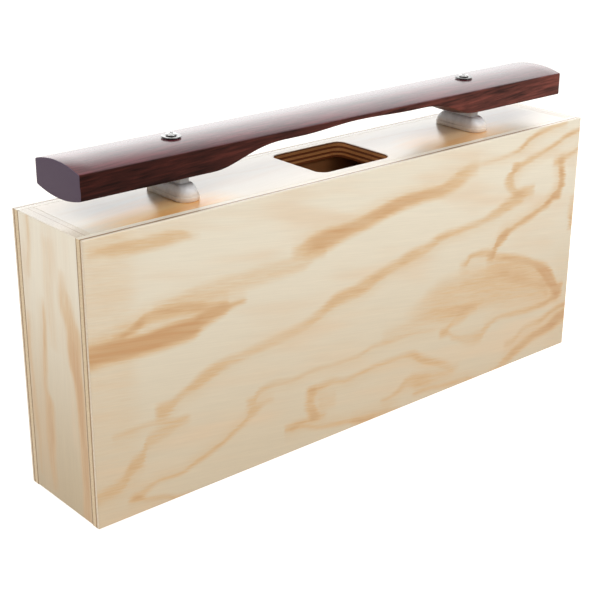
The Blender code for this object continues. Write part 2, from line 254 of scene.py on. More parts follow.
def line_table(t, run, rows, run_span, rise_span):
    """A curve node that gives a line's height, half width and strength for each place along it."""
    table = t.node("ShaderNodeRGBCurve")
    table.mapping.use_clip = False
    table.mapping.extend = "HORIZONTAL"
    first, last = rows[0], rows[-1]
    if first[0] > TAPER:
        rows = [(first[0] - TAPER, first[1], first[2], 0.0)] + rows
    if last[0] + TAPER < run_span * 1000:
        rows = rows + [(last[0] + TAPER, last[1], last[2], 0.0)]
    places = [row[0] / 1000 / run_span for row in rows]
    columns = (
        [row[1] / 1000 / rise_span for row in rows],
        [row[2] / 1000 / WIDEST_LINE for row in rows],
        [row[3] for row in rows],
    )
    for channel, values in enumerate(columns):
        curve = table.mapping.curves[channel]
        points = []
        for x, y in zip(places, values):
            if not points or x > points[-1][0] + 0.001:
                points.append((x, y))
        curve.points[0].location = points[0]
        curve.points[1].location = points[-1]
        for x, y in points[1:-1]:
            curve.points.new(x, y)
        for point in curve.points:
            point.handle_type = "AUTO_CLAMPED"
    table.mapping.update()
    t.put(table.inputs["Fac"], 1.0)
    t.put(table.inputs["Color"], run)
    parts = t.node("ShaderNodeSeparateColor")
    t.put(parts.inputs[0], table.outputs[0])
    return parts.outputs


def add_ring_lines(t, position, lines, size):
    """The joint mask of a sheet's lines. A row is (direction, hazy side, points in millimetres)."""
    along, down, _ = t.separate(position)
    clear, kept = 1.0, 1.0
    for direction, hazy_side, rows in lines:
        level = direction != "upright"
        run, rise = (along, down) if level else (down, along)
        run_span, rise_span = (size if level else (size[1], size[0]))
        parts = line_table(t, t.math("DIVIDE", run, run_span), rows, run_span, rise_span)
        offset = t.math("SUBTRACT", rise, t.math("MULTIPLY", parts[0], rise_span))
        mask = t.group(
            ring_group,
            Offset=offset,
            Half_Width=t.math("MULTIPLY", parts[1], WIDEST_LINE),
            Strength=parts[2],
            Hazy_Side=float(hazy_side),
        )[0]
        left = t.math("SUBTRACT", 1.0, mask)
        if direction == "pale":
            kept = t.math("MULTIPLY", kept, left)
        else:
            clear = t.math("MULTIPLY", clear, left)
    return t.math("MULTIPLY", t.math("SUBTRACT", 1.0, clear), kept)


print("ring line tables ready")

# %% [markdown]
# ## Serrated edges
# Wood fibres don't follow the sheet exactly. Where a ring line crosses them, its edge is drawn out
# along the fibres into short teeth. Moving the place where the lines are looked up, along the
# fibres and by an amount that changes from fibre to fibre, makes such teeth only where a line
# crosses the fibres, as in real veneer. A slow wave on top of it keeps long lines from looking
# ruled.

# %% Group: fibre shift
fibre_group, t, given, results = new_group(
    "fibre_shift",
    [
        ("Position", "Vector", None),
        ("Fibre Slope", "Float", 0.16),
        ("Teeth", "Float", 0.008),
        ("Wander", "Float", 0.005),
    ],
    [("Position", "Vector"), ("Fibres", "Vector")],
)
along, down, deep = t.separate(given["Position"])
straight = t.math("SUBTRACT", down, t.math("MULTIPLY", along, given["Fibre Slope"]))
fibres = t.combine(along, straight, deep)
tooth = t.noise(t.vector("MULTIPLY", fibres, (38.0, 620.0, 50.0)), detail=2.0, roughness=0.6)[0]
reach = t.math("MULTIPLY", t.math("SUBTRACT", tooth, 0.5), given["Teeth"])
wave = t.noise(t.vector("MULTIPLY", fibres, (20.0, 42.0, 20.0)), detail=1.0)[0]
wander = t.math("MULTIPLY", t.math("SUBTRACT", wave, 0.5), given["Wander"])
shifted_along = t.math("ADD", along, reach)
shifted_down = t.math("ADD", t.math("ADD", down, t.math("MULTIPLY", reach, given["Fibre Slope"])), wander)
t.put(results["Position"], t.combine(shifted_along, shifted_down, deep))
t.put(results["Fibres"], fibres)
print("fibre shift group has", len(fibre_group.nodes), "nodes")

# %% [markdown]
# ## Pine face veneer
# Under the lines the veneer is cream with broad, faint clouds of pink, and fine fibres that show as
# slightly darker and lighter dashes. The group takes the place along the fibres and the mask of the
# ring lines, and puts out a colour and a height for the bump. Weak parts of a line are peach, and
# the strongest parts are a warm tan.

# %% Group: pine face
pine_group, t, given, results = new_group(
    "pine_face",
    [
        ("Fibres", "Vector", None),
        ("Latewood", "Float", 0.0),
        ("Ground", "Color", (0.80, 0.69, 0.52, 1.0)),
        ("Cloudiness", "Float", 0.5),
    ],
    [("Color", "Color"), ("Height", "Float")],
)
PALE_GROUND = (0.85, 0.785, 0.645)  # on a darker ground than this, the lines are darker as well
LINES_FOLLOW = 0.5
BLUSH = (0.78, 0.58, 0.385)
PEACH = (0.75, 0.545, 0.325)
LATEWOOD = (0.625, 0.35, 0.155)
FRAYING = 2.6  # how strongly the fibres break up the soft parts of a line
blush = t.noise(t.vector("MULTIPLY", given["Fibres"], (7.0, 34.0, 7.0)), detail=2.0)[0]
broad = t.noise(t.vector("MULTIPLY", given["Fibres"], (9.0, 230.0, 40.0)), detail=2.0)[0]
fine = t.noise(t.vector("MULTIPLY", given["Fibres"], (30.0, 1000.0, 60.0)), detail=2.0, roughness=0.6)[0]
cloud = t.math("MULTIPLY", t.step(blush, 0.46, 0.74), given["Cloudiness"])
ground = t.mix(cloud, given["Ground"], BLUSH)
streaky = t.math("MULTIPLY", t.math("SUBTRACT", broad, 0.5), 0.85)
feather = t.noise(t.vector("MULTIPLY", given["Fibres"], (48.0, 600.0, 50.0)), detail=3.0, roughness=0.65)[0]
partly = t.math("MULTIPLY", given["Latewood"], t.math("SUBTRACT", 1.0, given["Latewood"]))
frayed = t.math("MULTIPLY", t.math("SUBTRACT", feather, 0.5), t.math("MULTIPLY", partly, FRAYING))
latewood = t.math("ADD", given["Latewood"], frayed, clamp=True)
grained = t.math("MULTIPLY", latewood, t.math("ADD", 0.95, streaky))
# The lines darken with the ground, so the painted shade towards a panel's bottom falls on them too.
ground_shade_ratio = t.mix(1.0, given["Ground"], tuple(1 / v for v in PALE_GROUND), "MULTIPLY")
peach, dark_wood = (t.mix(LINES_FOLLOW, v, ground_shade_ratio, "MULTIPLY") for v in (PEACH, LATEWOOD))
veneer = t.mix(t.math("MULTIPLY", grained, 2.0, clamp=True), ground, peach)
veneer = t.mix(t.math("MULTIPLY_ADD", grained, 2.0, -1.0, clamp=True), veneer, dark_wood)
shade = t.math("ADD", t.step(broad, 0.28, 0.72, 0.985, 1.01), t.step(fine, 0.3, 0.75, -0.022, 0.018))
shaded = t.mix(1.0, veneer, t.combine(shade, shade, shade), "MULTIPLY")
t.put(results["Color"], shaded)
t.put(results["Height"], fine)
print("pine face group has", len(pine_group.nodes), "nodes")

# %% [markdown]
# ## Plywood edge
# The edge of a board shows its plies. Where a ply's grain runs across, it shows dark, pored end
# grain, and where it runs along, pale fibres. A colour ramp over the depth of the board is a cut
# through it: one stop for each ply's border. The group only adds what all edges share, which are
# the pores, the fibres and a slight wander of the plies.

# %% Group: ply edge
edge_group, t, given, results = new_group(
    "ply_edge",
    [("Position", "Vector", None), ("Depth", "Float", 0.0)],
    [("Depth", "Float"), ("Grain", "Color"), ("Height", "Float")],
)
wave = t.noise(t.vector("MULTIPLY", given["Position"], (26.0, 26.0, 26.0)), detail=2.0)[0]
pores = t.noise(t.vector("MULTIPLY", given["Position"], (1300.0, 1300.0, 1300.0)), detail=2.0)[0]
patches = t.noise(t.vector("MULTIPLY", given["Position"], (55.0, 55.0, 55.0)), detail=3.0)[0]
wandered = t.math("ADD", given["Depth"], t.math("MULTIPLY", t.math("SUBTRACT", wave, 0.5), 0.05))
t.put(results["Depth"], wandered)
t.put(results["Grain"], t.mix(t.step(pores, 0.35, 0.72), (0.84, 0.81, 0.78), (1.06, 1.05, 1.04)))
t.put(results["Height"], t.math("ADD", pores, patches))
print("ply edge group has", len(edge_group.nodes), "nodes")

# %% Plies of the three kinds of board
PLY_PALE = (0.84, 0.74, 0.59)
PLY_TAN = (0.80, 0.65, 0.43)
PLY_BROWN = (0.36, 0.21, 0.085)
PLY_FAINT = (0.60, 0.46, 0.32)
PLY_JOINT = (0.36, 0.23, 0.12)
# The plies of the sound hole's walls are darker and oranger than the other edges: real plies under painted shade
# and warm bounce light.
HOLE_PALE_SHADED = (0.92, 0.42, 0.15)
HOLE_DARK_SHADED = (0.30, 0.085, 0.018)
FACE_BOARD = [(0.0, PLY_PALE), (0.28, PLY_BROWN), (0.46, PLY_TAN), (0.90, PLY_JOINT)]
FACE_BOARD_TOP = [(0.0, PLY_PALE), (0.25, (0.31, 0.165, 0.06)), (0.47, (0.93, 0.84, 0.68))]
END_BOARD = [(0.0, PLY_PALE), (0.59, PLY_FAINT), (0.65, PLY_PALE)]
TOP_BOARD = [
    (0.0, HOLE_DARK_SHADED),
    (0.11, HOLE_PALE_SHADED),
    (0.27, HOLE_DARK_SHADED),
    (0.41, HOLE_PALE_SHADED),
    (0.58, HOLE_DARK_SHADED),
    (0.72, HOLE_PALE_SHADED),
    (0.86, HOLE_DARK_SHADED),
]


def ply_ramp(t, depth, plies, blur=0.012):
    """A colour ramp over a board's depth, with one flat colour for each ply."""
    ramp = t.node("ShaderNodeValToRGB")
    stops = ramp.color_ramp.elements
    stops[0].position = 0.0
    stops[0].color = colour(plies[0][1])
    stops.remove(stops[1])
    for (_, before), (start, here) in zip(plies, plies[1:]):
        for place, shade in ((start - blur, before), (start + blur, here)):
            stop = stops.new(place)
            stop.color = colour(shade)
    t.put(ramp.inputs[0], depth)
    return ramp.outputs[0]


print("boards have", len(FACE_BOARD), len(END_BOARD), len(TOP_BOARD), "plies")

# %% [markdown]
# ## One material for each panel
# A panel is a sheet with two faces and four edges. The surface's normal, in the object's own space,
# tells which of them a point lies on. The sheet's coordinates are the object's own, turned so that
# x runs along the grain, y across it and z through the board. Each sheet gets two ground colours,
# one for its upper edge and one for its lower edge. On most panels the lower one is darker: that is
# painted shade, as of light that falls off towards the floor.


# %% Panel material
# The inner faces are painted dark brown, which is painted shade inside the box. Near the upper edge they keep the
# pale glued colour.
INNER_FACE_SHADE = (0.42, 0.17, 0.06)
# Tint of the painted shadow and reflection of the pads on the top.
GLUED = (0.92, 0.82, 0.64)
PAD_SHADOW_TINT = (1.18, 0.82, 0.42)


def painted_pad_shadow(t, axes, fibres, shadow_spots):
    """The mask of a painted shadow and reflection of the pads: soft ellipses on the sheet, given as middle, reach
    and strength, and 0 away from them.
    """
    grain = t.noise(t.vector("MULTIPLY", fibres, (9.0, 120.0, 9.0)), detail=2.0)[0]
    clear = 1.0
    for middle, reach, strength in shadow_spots:
        parts = [t.math("DIVIDE", t.math("SUBTRACT", axes[i], middle[i]), reach[i]) for i in (0, 1)]
        away = t.math("ADD", t.math("POWER", parts[0], 2.0), t.math("POWER", parts[1], 2.0))
        mask = t.step(t.math("ADD", away, t.math("MULTIPLY", grain, 0.6)), 1.3, 0.4, 0.0, strength)
        clear = t.math("MULTIPLY", clear, t.math("SUBTRACT", 1.0, mask))
    return t.math("SUBTRACT", 1.0, clear)


def panel_material(name, grain, through, outer, thickness, plies, lines, grounds_and_shade, slope=0.16, shadow_spots=(), cut=0.0):
    """Plywood for one panel.

    grain and through are axis numbers: the face's grain and the board's thickness run along them.
    outer is where the outer face lies on the through axis, and thickness is signed inwards. cut is
    the sheet's place in the log, so that no two sheets share their fine grain.
    Whatever faces up was sanded and lacquered with the finished box, so it has the thickest coat.
    """
    material = bpy.data.materials.new(name)
    material.use_nodes = True
    t = Tree(material.node_tree)
    shader = material.node_tree.nodes["Principled BSDF"]
    place = t.node("ShaderNodeTexCoord").outputs
    axes = t.separate(place["Object"])
    normal = t.separate(place["Normal"])
    across = 3 - grain - through
    starts = (box_low.x, box_low.y, BOX_HEIGHT)
    spans = (BOX_LENGTH, BOX_DEPTH, BOX_HEIGHT)
    signs = (1.0, 1.0, -1.0)

    def offset(axis):
        return t.math("MULTIPLY", t.math("SUBTRACT", axes[axis], starts[axis]), signs[axis])

    depth = t.math("DIVIDE", t.math("SUBTRACT", axes[through], outer), thickness)
    position = t.combine(offset(grain), offset(across), t.math("MULTIPLY_ADD", depth, 0.05, cut))
    shifted = t.group(fibre_group, Position=position, Fibre_Slope=slope)
    latewood = add_ring_lines(t, shifted["Position"], lines, (spans[grain], spans[across]))
    # The face goes from the first ground at the top to the second at the bottom: painted shade.
    shade_downward = t.step(offset(2), 0.0, BOX_HEIGHT)
    ground = t.mix(shade_downward, grounds_and_shade[0], grounds_and_shade[1])
    face = t.group(pine_group, Fibres=shifted["Fibres"], Latewood=latewood, Ground=ground)
    edge = t.group(edge_group, Position=place["Object"], Depth=depth)
    plies_colour = t.mix(1.0, ply_ramp(t, edge["Depth"], plies), edge["Grain"], "MULTIPLY")
    upward = t.step(normal[2], 0.5, 0.9)
    if plies is FACE_BOARD:
        upper_plies = ply_ramp(t, edge["Depth"], FACE_BOARD_TOP)
        plies_colour = t.mix(upward, plies_colour, upper_plies)
    on_edge = t.step(t.math("ABSOLUTE", normal[through]), 0.80, 0.35)
    inward = t.math("MULTIPLY", normal[through], math.copysign(1.0, thickness))
    veneer = face["Color"]
    # Warm places in front of the pads: a painted shadow and reflection of the pads on the lacquer.
    if shadow_spots:
        veneer = t.mix(painted_pad_shadow(t, axes, shifted["Fibres"], shadow_spots), veneer, PAD_SHADOW_TINT, "MULTIPLY")
    # Inner faces: painted shade, except a pale strip at the top.
    in_joint = t.step(axes[2], BOX_HEIGHT - 0.016, BOX_HEIGHT - 0.012)
    shaded_inner_face = t.mix(in_joint, INNER_FACE_SHADE, GLUED)
    outer_face = t.mix(t.step(inward, 0.3, 0.8), veneer, shaded_inner_face)
    if plies is TOP_BOARD:
        aside = [t.math("SUBTRACT", t.math("ABSOLUTE", axes[i]), span) for i, span in ((0, 0.2), (1, 0.037))]
        outside = t.step(t.math("MAXIMUM", *aside), 0.0, 0.001)
        plies_colour = t.mix(outside, plies_colour, GLUED)
    t.put(shader.inputs["Base Color"], t.mix(on_edge, outer_face, plies_colour))
    t.put(shader.inputs["Roughness"], t.step(on_edge, 0.0, 1.0, 0.42, 0.55))
    height = t.node("ShaderNodeMix", data_type="FLOAT")
    t.put(height.inputs[0], on_edge)
    t.put(height.inputs[2], face["Height"])
    t.put(height.inputs[3], edge["Height"])
    bump = t.node("ShaderNodeBump")
    bump.inputs["Strength"].default_value = 0.10
    bump.inputs["Distance"].default_value = 0.0004
    t.put(bump.inputs["Height"], height.outputs[0])
    t.put(shader.inputs["Normal"], bump.outputs[0])
    t.put(shader.inputs["Coat Weight"], t.step(upward, 0.0, 1.0, 0.3, 1.0))
    shader.inputs["Coat Roughness"].default_value = 0.2
    shader.inputs["Coat IOR"].default_value = 1.6
    shader.inputs["Specular IOR Level"].default_value = 0.3
    return material


def paint(node, material):
    """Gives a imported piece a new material."""
    piece = nodes[node]
    if not piece.material_slots:
        piece.data.materials.append(material)
    for slot in piece.material_slots:
        slot.material = material


print("panel material ready")

# %% [markdown]
# ## The front panel's veneer
# Each entry is one ring line, except the last, which is a broad haze of painted shade along the
# right edge. It says whether the line is looked up along the sheet (level) or down it (upright),
# on which side its haze lies, and then its points: the place along, the height below the upper edge,
# the half width, all in millimetres, and the strength. The lines climb to the right and close into
# a long oval at the lower right, where the knife cut through a bulge of the trunk.

# %% Front panel's lines
FRONT_LINES = [
    ("level", -1, [
        (8, 10, 3.8, 0.3), (28, 12, 5, 0.5), (58, 14, 5.6, 0.55), (84, 15, 4.4, 0.5), (96, 17, 2.7, 0.2),
    ]),
    ("level", -1, [
        (0, 89, 9, 0.95), (25, 89.5, 8.5, 1), (60, 91, 9, 1), (90, 91, 8.5, 1), (104, 86, 6.5, 0.85),
        (122, 82.5, 5, 0.8), (138, 81.5, 2.1, 0.7),
    ]),
    ("level", -1, [
        (26, 79, 2.7, 0.5), (38, 76.5, 3.8, 0.85), (52, 72, 5, 0.62), (75, 72, 5.6, 0.55),
        (100, 76, 5, 0.6), (122, 79, 3.8, 0.5),
    ]),
    ("level", -1, [
        (62, 68, 6.2, 0.2), (100, 66, 8, 0.3), (150, 64, 8, 0.3), (200, 64, 7, 0.32), (222, 57, 6.2, 0.3),
    ]),
    ("level", -1, [
        (196, 53, 5, 0.3), (205, 52, 7, 0.5), (211, 51, 8, 0.7), (226, 49.5, 9, 0.86),
        (245, 48, 7.5, 0.84), (265, 45.5, 7, 0.76), (288, 41, 6.5, 0.8), (308, 37, 6, 0.84),
        (335, 35.5, 5.5, 0.84), (358, 35, 6, 0.74), (374, 31.5, 7.5, 0.6), (390, 26.5, 8, 0.45),
        (404, 22, 7, 0.25),
    ]),
    ("level", 1, [
        (385, 21, 2.7, 0.25), (440, 19, 2.2, 0.35), (461, 17, 2.2, 0.55), (475, 11, 2.7, 0.75),
        (492, 5, 2.7, 0.6), (525, 1, 2.1, 0.45),
    ]),
    ("level", 1, [
        (62, 152, 6.1, 0.57), (80, 144, 3.9, 0.44), (100, 137, 6.1, 0.57), (120, 131, 5.4, 0.5),
        (142, 128.5, 4.6, 0.36), (170, 126, 4.6, 0.36), (200, 121, 4.6, 0.4), (222, 114, 4.6, 0.48),
        (240, 107, 5.4, 0.6), (262, 104, 6.1, 0.55), (290, 97, 5.4, 0.65), (308, 92, 4.9, 0.5),
        (325, 88, 5.4, 0.6), (345, 85, 4.9, 0.5), (365, 79, 3.9, 0.55), (385, 77, 3.2, 0.5),
        (410, 77, 3.2, 0.45), (432, 73, 4.6, 0.5), (452, 66.5, 6.8, 0.55), (468, 61.5, 7.5, 0.55),
        (482, 58, 4.6, 0.5),
    ]),
    ("upright", 1, [
        (33, 461, 5, 0.5), (38, 454, 5, 0.6), (45, 452, 6.2, 0.55), (52, 457, 6.2, 0.5),
        (58, 466, 8, 0.5),
    ]),
    ("level", 1, [
        (460, 33, 3.8, 0.45), (476, 29, 3.8, 0.5), (495, 25, 2.7, 0.55), (515, 19.5, 2.5, 0.7),
        (534, 13, 2.7, 0.7), (550, 11, 2.2, 0.65),
    ]),
    ("level", -1, [(520, 38, 3.3, 0.5), (535, 35, 2.7, 0.5), (550, 31, 2.7, 0.5)]),
    ("upright", -1, [
        (37, 525, 5, 0.5), (45, 526, 4.4, 0.75), (55, 528, 4.4, 0.85), (64, 528, 4.4, 0.85),
        (70, 522, 6.2, 0.75),
    ]),
    ("level", -1, [
        (432, 112, 5, 0.53), (441, 101, 6.7, 0.8), (451, 95, 6.2, 0.85), (463, 90, 2.9, 0.75),
        (482, 85, 3.2, 0.8), (500, 80, 2.7, 0.8), (512, 75.5, 3.8, 0.95), (522, 71, 3.8, 0.8),
    ]),
    ("level", 1, [
        (396, 112, 3.8, 0.35), (408, 106.5, 2.5, 0.6), (425, 108, 3.8, 0.55), (440, 114.5, 2.8, 0.53),
        (455, 119, 3.1, 0.66), (472, 124.5, 3.8, 0.65), (490, 131.5, 3.8, 0.67), (502, 138, 5, 0.79),
        (513, 147, 8.8, 0.85), (521, 155, 10, 0.86), (529, 165, 8.8, 0.8), (536, 172, 7.5, 0.8),
    ]),
    ("level", -1, [
        (374, 173, 3.3, 0.37), (388, 181, 3.3, 0.37), (405, 188, 5, 0.33), (422, 190, 6.2, 0.44),
        (432, 183, 5, 0.44), (450, 177, 2.7, 0.44), (470, 179, 3.3, 0.52), (492, 181, 2.9, 0.55),
        (515, 180, 2.9, 0.67), (532, 177.5, 3.8, 0.71),
    ]),
    ("level", -1, [
        (374, 172, 3.8, 0.37), (384, 166, 3.8, 0.37), (396, 162, 6.2, 0.4), (412, 160, 3.8, 0.3),
    ]),
    ("level", 1, [
        (326, 142, 8, 0.05), (352, 140, 13.2, 0.31), (385, 140, 19.8, 0.42), (430, 142, 20.9, 0.45),
        (475, 152, 17.6, 0.42), (515, 165, 9.9, 0.37),
    ]),
    ("pale", -1, [(380, 145, 1.2, 0.3), (400, 148.5, 1.8, 0.5), (422, 152, 1.1, 0.25)]),
    ("pale", -1, [(386, 138.5, 1.1, 0.25), (400, 141, 1.5, 0.4), (416, 143, 1.1, 0.25)]),
    ("pale", -1, [(38, 81, 1.5, 0.4), (52, 82, 1.8, 0.55), (70, 82, 1.2, 0.3)]),
    ("level", 1, [(398, 131, 2.1, 0.26), (425, 136, 2.1, 0.29), (455, 134, 2.7, 0.25)]),
    ("level", -1, [
        (300, 156, 6, 0.15), (345, 153, 7, 0.25), (380, 156, 6.2, 0.3), (420, 155, 3.8, 0.23),
    ]),
    ("level", -1, [
        (36, 216.5, 3.8, 0.44), (46, 213.5, 2.9, 0.48), (60, 210.5, 2.2, 0.48), (76, 211, 2.1, 0.48),
        (92, 206.5, 2.7, 0.52), (110, 202, 2.7, 0.55), (126, 195.5, 2.5, 0.55), (140, 189, 2.9, 0.52),
        (149, 181, 5, 0.48), (158, 178, 3.3, 0.44), (167, 176.5, 1.8, 0.37),
    ]),
    ("level", 1, [
        (33, 218, 3.3, 0.44), (45, 223, 2.2, 0.48), (60, 227, 2.2, 0.52), (82, 233, 2.1, 0.44),
    ]),
    ("level", 1, [
        (150, 172, 4.4, 0.44), (157, 165.5, 3.8, 0.44), (170, 163, 3.2, 0.4), (195, 166, 2.2, 0.37),
        (220, 164, 2.2, 0.33), (245, 166, 2.2, 0.33), (265, 166, 2.2, 0.4), (288, 162, 2.5, 0.33),
        (335, 163, 2.2, 0.31), (362, 166, 2, 0.22),
    ]),
    ("level", 1, [(190, 210, 3.8, 0.55), (202, 209, 3.3, 0.52), (224, 209, 2.7, 0.44)]),
    ("level", -1, [
        (196, 212, 2.5, 0.37), (222, 219, 2.2, 0.44), (242, 222.5, 2.5, 0.52), (262, 226, 2.1, 0.52),
        (284, 230, 2.1, 0.44),
    ]),
    ("upright", 1, [
        (183, 214, 5.6, 0.52), (192, 212, 5, 0.55), (201, 215, 6.2, 0.67), (208, 218, 6.2, 0.52),
    ]),
    ("level", 1, [
        (215, 182, 3.4, 0.48), (235, 180.5, 2.9, 0.48), (254, 184, 2.5, 0.48), (275, 183, 2.2, 0.44),
        (292, 181, 2.2, 0.44), (312, 180.5, 2.2, 0.44), (330, 182.5, 3.2, 0.52), (346, 191, 4.5, 0.62),
        (360, 198, 4.5, 0.55), (378, 207, 5, 0.37), (392, 213, 3.8, 0.22),
    ]),
    ("level", 1, [(228, 196, 8, 0.22), (236, 198, 7, 0.22)]),
    ("level", 1, [
        (302, 218, 2.2, 0.4), (316, 214.5, 3.3, 0.44), (330, 209, 5, 0.44), (342, 212, 7, 0.52),
        (362, 215, 6.2, 0.33), (385, 216, 3.8, 0.22),
    ]),
    ("level", -1, [
        (342, 223, 2.2, 0.4), (374, 227, 2.5, 0.48), (402, 229, 2.7, 0.48), (438, 233, 2.2, 0.37),
    ]),
    ("level", -1, [
        (446, 232, 3.3, 0.44), (462, 227, 5.6, 0.55), (480, 219, 5.6, 0.67), (500, 213, 5, 0.7),
        (520, 209.5, 5.6, 0.8), (540, 203, 6.7, 0.84), (550, 201, 6.7, 0.84),
    ]),
    ("level", 1, [
        (466, 210, 3.3, 0.37), (490, 200, 3.8, 0.33), (512, 197, 3.8, 0.42), (533, 191.5, 2.7, 0.63),
        (550, 190.5, 2.7, 0.63),
    ]),
    ("level", 1, [
        (0, 206, 6.2, 0.44), (20, 203, 5.6, 0.44), (32, 191, 6.7, 0.55), (42, 185, 6, 0.55),
        (48, 174, 6.2, 0.37), (62, 170, 6.2, 0.37), (82, 166, 3.8, 0.3),
    ]),
    ("level", 1, [(22, 160, 2.2, 0.3), (50, 159, 2.2, 0.33), (80, 164, 2.2, 0.26)]),
    ("level", -1, [(265, 228, 3.3, 0.37), (300, 230, 3.8, 0.48), (316, 232, 2.7, 0.3)]),
    ("upright", 1, [(80, 548, 5, 0.25), (95, 547, 4.4, 0.5), (105, 548, 3.3, 0.6)]),
    ("level", 1, [
        (432, 124, 9, 0.22), (455, 130, 11, 0.36), (480, 140, 12, 0.39), (505, 152, 12, 0.38),
        (528, 167, 8, 0.32),
    ]),
    ("upright", 1, [(0, 14, 25, 0.2), (60, 14, 25, 0.17), (150, 14, 25, 0.12), (232, 14, 25, 0.08)]),
    # Not a ring line: a broad haze of painted shade over the lower right corner.
    ("upright", -1, [(120, 549, 20, 0.02), (160, 549, 22, 0.1), (232, 549, 24, 0.1)]),
]
# The second ground, for the lower edge, is darker: painted shade.
FRONT_GROUND_AND_SHADE = ((0.85, 0.785, 0.645), (0.685, 0.585, 0.43))
front = panel_material("front_plywood", 0, 1, box_low.y, FACE_THICKNESS, FACE_BOARD, FRONT_LINES, FRONT_GROUND_AND_SHADE)
paint("front_panel", front)
print("front panel has", len(FRONT_LINES), "ring lines")

# %% [markdown]
# ## The left end panel
# Its grain stands upright. Distances run down from the upper edge, and the second number counts
# from the front edge of the box. One wide tan band lies near the front, and a narrower one beyond
# the middle.

# %% Left end panel
LEFT_LINES = [
    ("level", -1, [
        (36, 31, 5, 0.2), (60, 27, 9, 0.45), (80, 20, 9, 0.7), (100, 20, 8.5, 0.85), (120, 16, 6.5, 0.85),
        (150, 15, 6, 0.75), (200, 14, 5.5, 0.7), (232, 16, 6, 0.6),
    ]),
    ("level", 1, [
        (66, 62, 2.5, 0.2), (80, 61.5, 2.5, 0.5), (96, 63, 3, 0.6), (120, 65, 3.5, 0.55),
        (135, 67, 3.5, 0.5), (148, 63, 6, 0.65), (168, 64, 6.5, 0.7), (200, 64, 5, 0.6),
        (222, 62, 4, 0.4),
    ]),
    ("level", 1, [(0, 77, 2.5, 0.35), (22, 77, 2.5, 0.35), (45, 80, 3, 0.2)]),
    ("level", -1, [
        (84, 86, 3, 0.3), (108, 87, 3.2, 0.5), (130, 85, 2.5, 0.4), (165, 85, 4, 0.5), (190, 83, 3, 0.4),
        (215, 83, 2, 0.3),
    ]),
    ("level", -1, [(15, 50, 7, 0.16), (60, 52, 7, 0.2), (95, 50, 6, 0.12)]),
    ("level", -1, [(70, 96, 2, 0.3), (150, 97, 2.5, 0.4), (215, 97, 2, 0.4)]),
]
# The second ground, for the lower edge, is much darker: painted shade.
LEFT_GROUND_AND_SHADE = ((0.93, 0.86, 0.715), (0.57, 0.45, 0.28))
left = panel_material("left_plywood", 2, 0, box_low.x, END_THICKNESS, END_BOARD, LEFT_LINES, LEFT_GROUND_AND_SHADE, 0.03)
paint("left_end_panel", left)
print("left end panel has", len(LEFT_LINES), "ring lines")

# %% [markdown]
# ## The other four panels
# The top shows only faint lines, and two warm places in front of the pads, which are a painted
# shadow and reflection of the pads on the lacquer. The panels that the photograph doesn't show
# are cut from the same log: sheets that follow each other there have the same lines, a little
# shifted. The back and the right end get the front's and the left end's lines on a sheet that is
# turned half way round, and the bottom gets those of the front's upper part. Their grounds also
# darken towards the bottom as painted shade.


# %% The other panels
def turned(lines, length, width):
    """The same lines on a sheet that is turned half way round. Sizes are in millimetres."""
    result = []
    for direction, hazy_side, rows in lines:
        run, rise = (width, length) if direction == "upright" else (length, width)
        points = [(run - a, rise - b, half, strength) for a, b, half, strength in reversed(rows)]
        result.append((direction, -hazy_side, points))
    return result


# Where the painted shadow and reflection of the pads lie on the top.
TOP_PAD_SHADOWS = [((-0.190, -0.030), (0.075, 0.040), 1.0), ((0.136, -0.020), (0.080, 0.042), 0.75)]
TOP_LINES = [
    ("level", -1, [(62, 9, 5, 0.3), (84, 11, 9, 0.5), (108, 14, 9, 0.5), (126, 20, 6, 0.3)]),
    ("level", 1, [(368, 10, 6, 0.3), (395, 13, 11, 0.45), (420, 18, 12, 0.45), (440, 27, 7, 0.3)]),
    ("level", 1, [(20, 62, 3, 0.12), (150, 66, 2, 0.15), (230, 60, 2, 0.1)]),
    ("level", -1, [(320, 70, 2, 0.12), (430, 62, 3, 0.16), (540, 60, 2, 0.12)]),
]
# The warm grounds darken towards the lower edge: painted shade. The top's two grounds are the same.
WARM_GROUND_AND_SHADE = ((0.81, 0.71, 0.545), (0.72, 0.61, 0.44))
TOP_GROUNDS = ((0.84, 0.75, 0.61), (0.84, 0.75, 0.61))
length, depth, height = (v * 1000 for v in (BOX_LENGTH, BOX_DEPTH, BOX_HEIGHT))
back_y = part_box("back_panel")[1].y
bottom_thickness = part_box("bottom_panel")[1].z
right_lines = turned(LEFT_LINES, height, depth)
back_lines = turned(FRONT_LINES, length, height)
bottom_lines = [line for line in FRONT_LINES if max(row[1] for row in line[2]) < depth]
for node, grain, through, outer, thickness, plies, lines, grounds_and_shade, slope, shadow_spots, cut in (
    ("right_end_panel", 2, 0, box_high.x, -END_THICKNESS, END_BOARD, right_lines, WARM_GROUND_AND_SHADE, 0.03, (), 0.7),
    ("back_panel", 0, 1, back_y, -FACE_THICKNESS, FACE_BOARD, back_lines, WARM_GROUND_AND_SHADE, 0.16, (), 1.4),
    ("top_panel", 0, 2, BOX_HEIGHT, -TOP_THICKNESS, TOP_BOARD, TOP_LINES, TOP_GROUNDS, 0.16, TOP_PAD_SHADOWS, 2.1),
    ("bottom_panel", 0, 2, 0.0, bottom_thickness, FACE_BOARD, bottom_lines, WARM_GROUND_AND_SHADE, 0.16, (), 2.8),
):
    sheet = (node + "_plywood", grain, through, outer, thickness, plies, lines, grounds_and_shade, slope, shadow_spots, cut)
    paint(node, panel_material(*sheet))
print("four more panels have their plywood")

# %% [markdown]
# ## The tone bar
# The bar is planed with a low crown above and below and is thinned from below in the middle, which
# tunes it. Its mesh is a loft: the same kind of outline at many places along the bar, skinned with
# quads. The outlines stand close together on the ramps of the undercut, where the form changes.

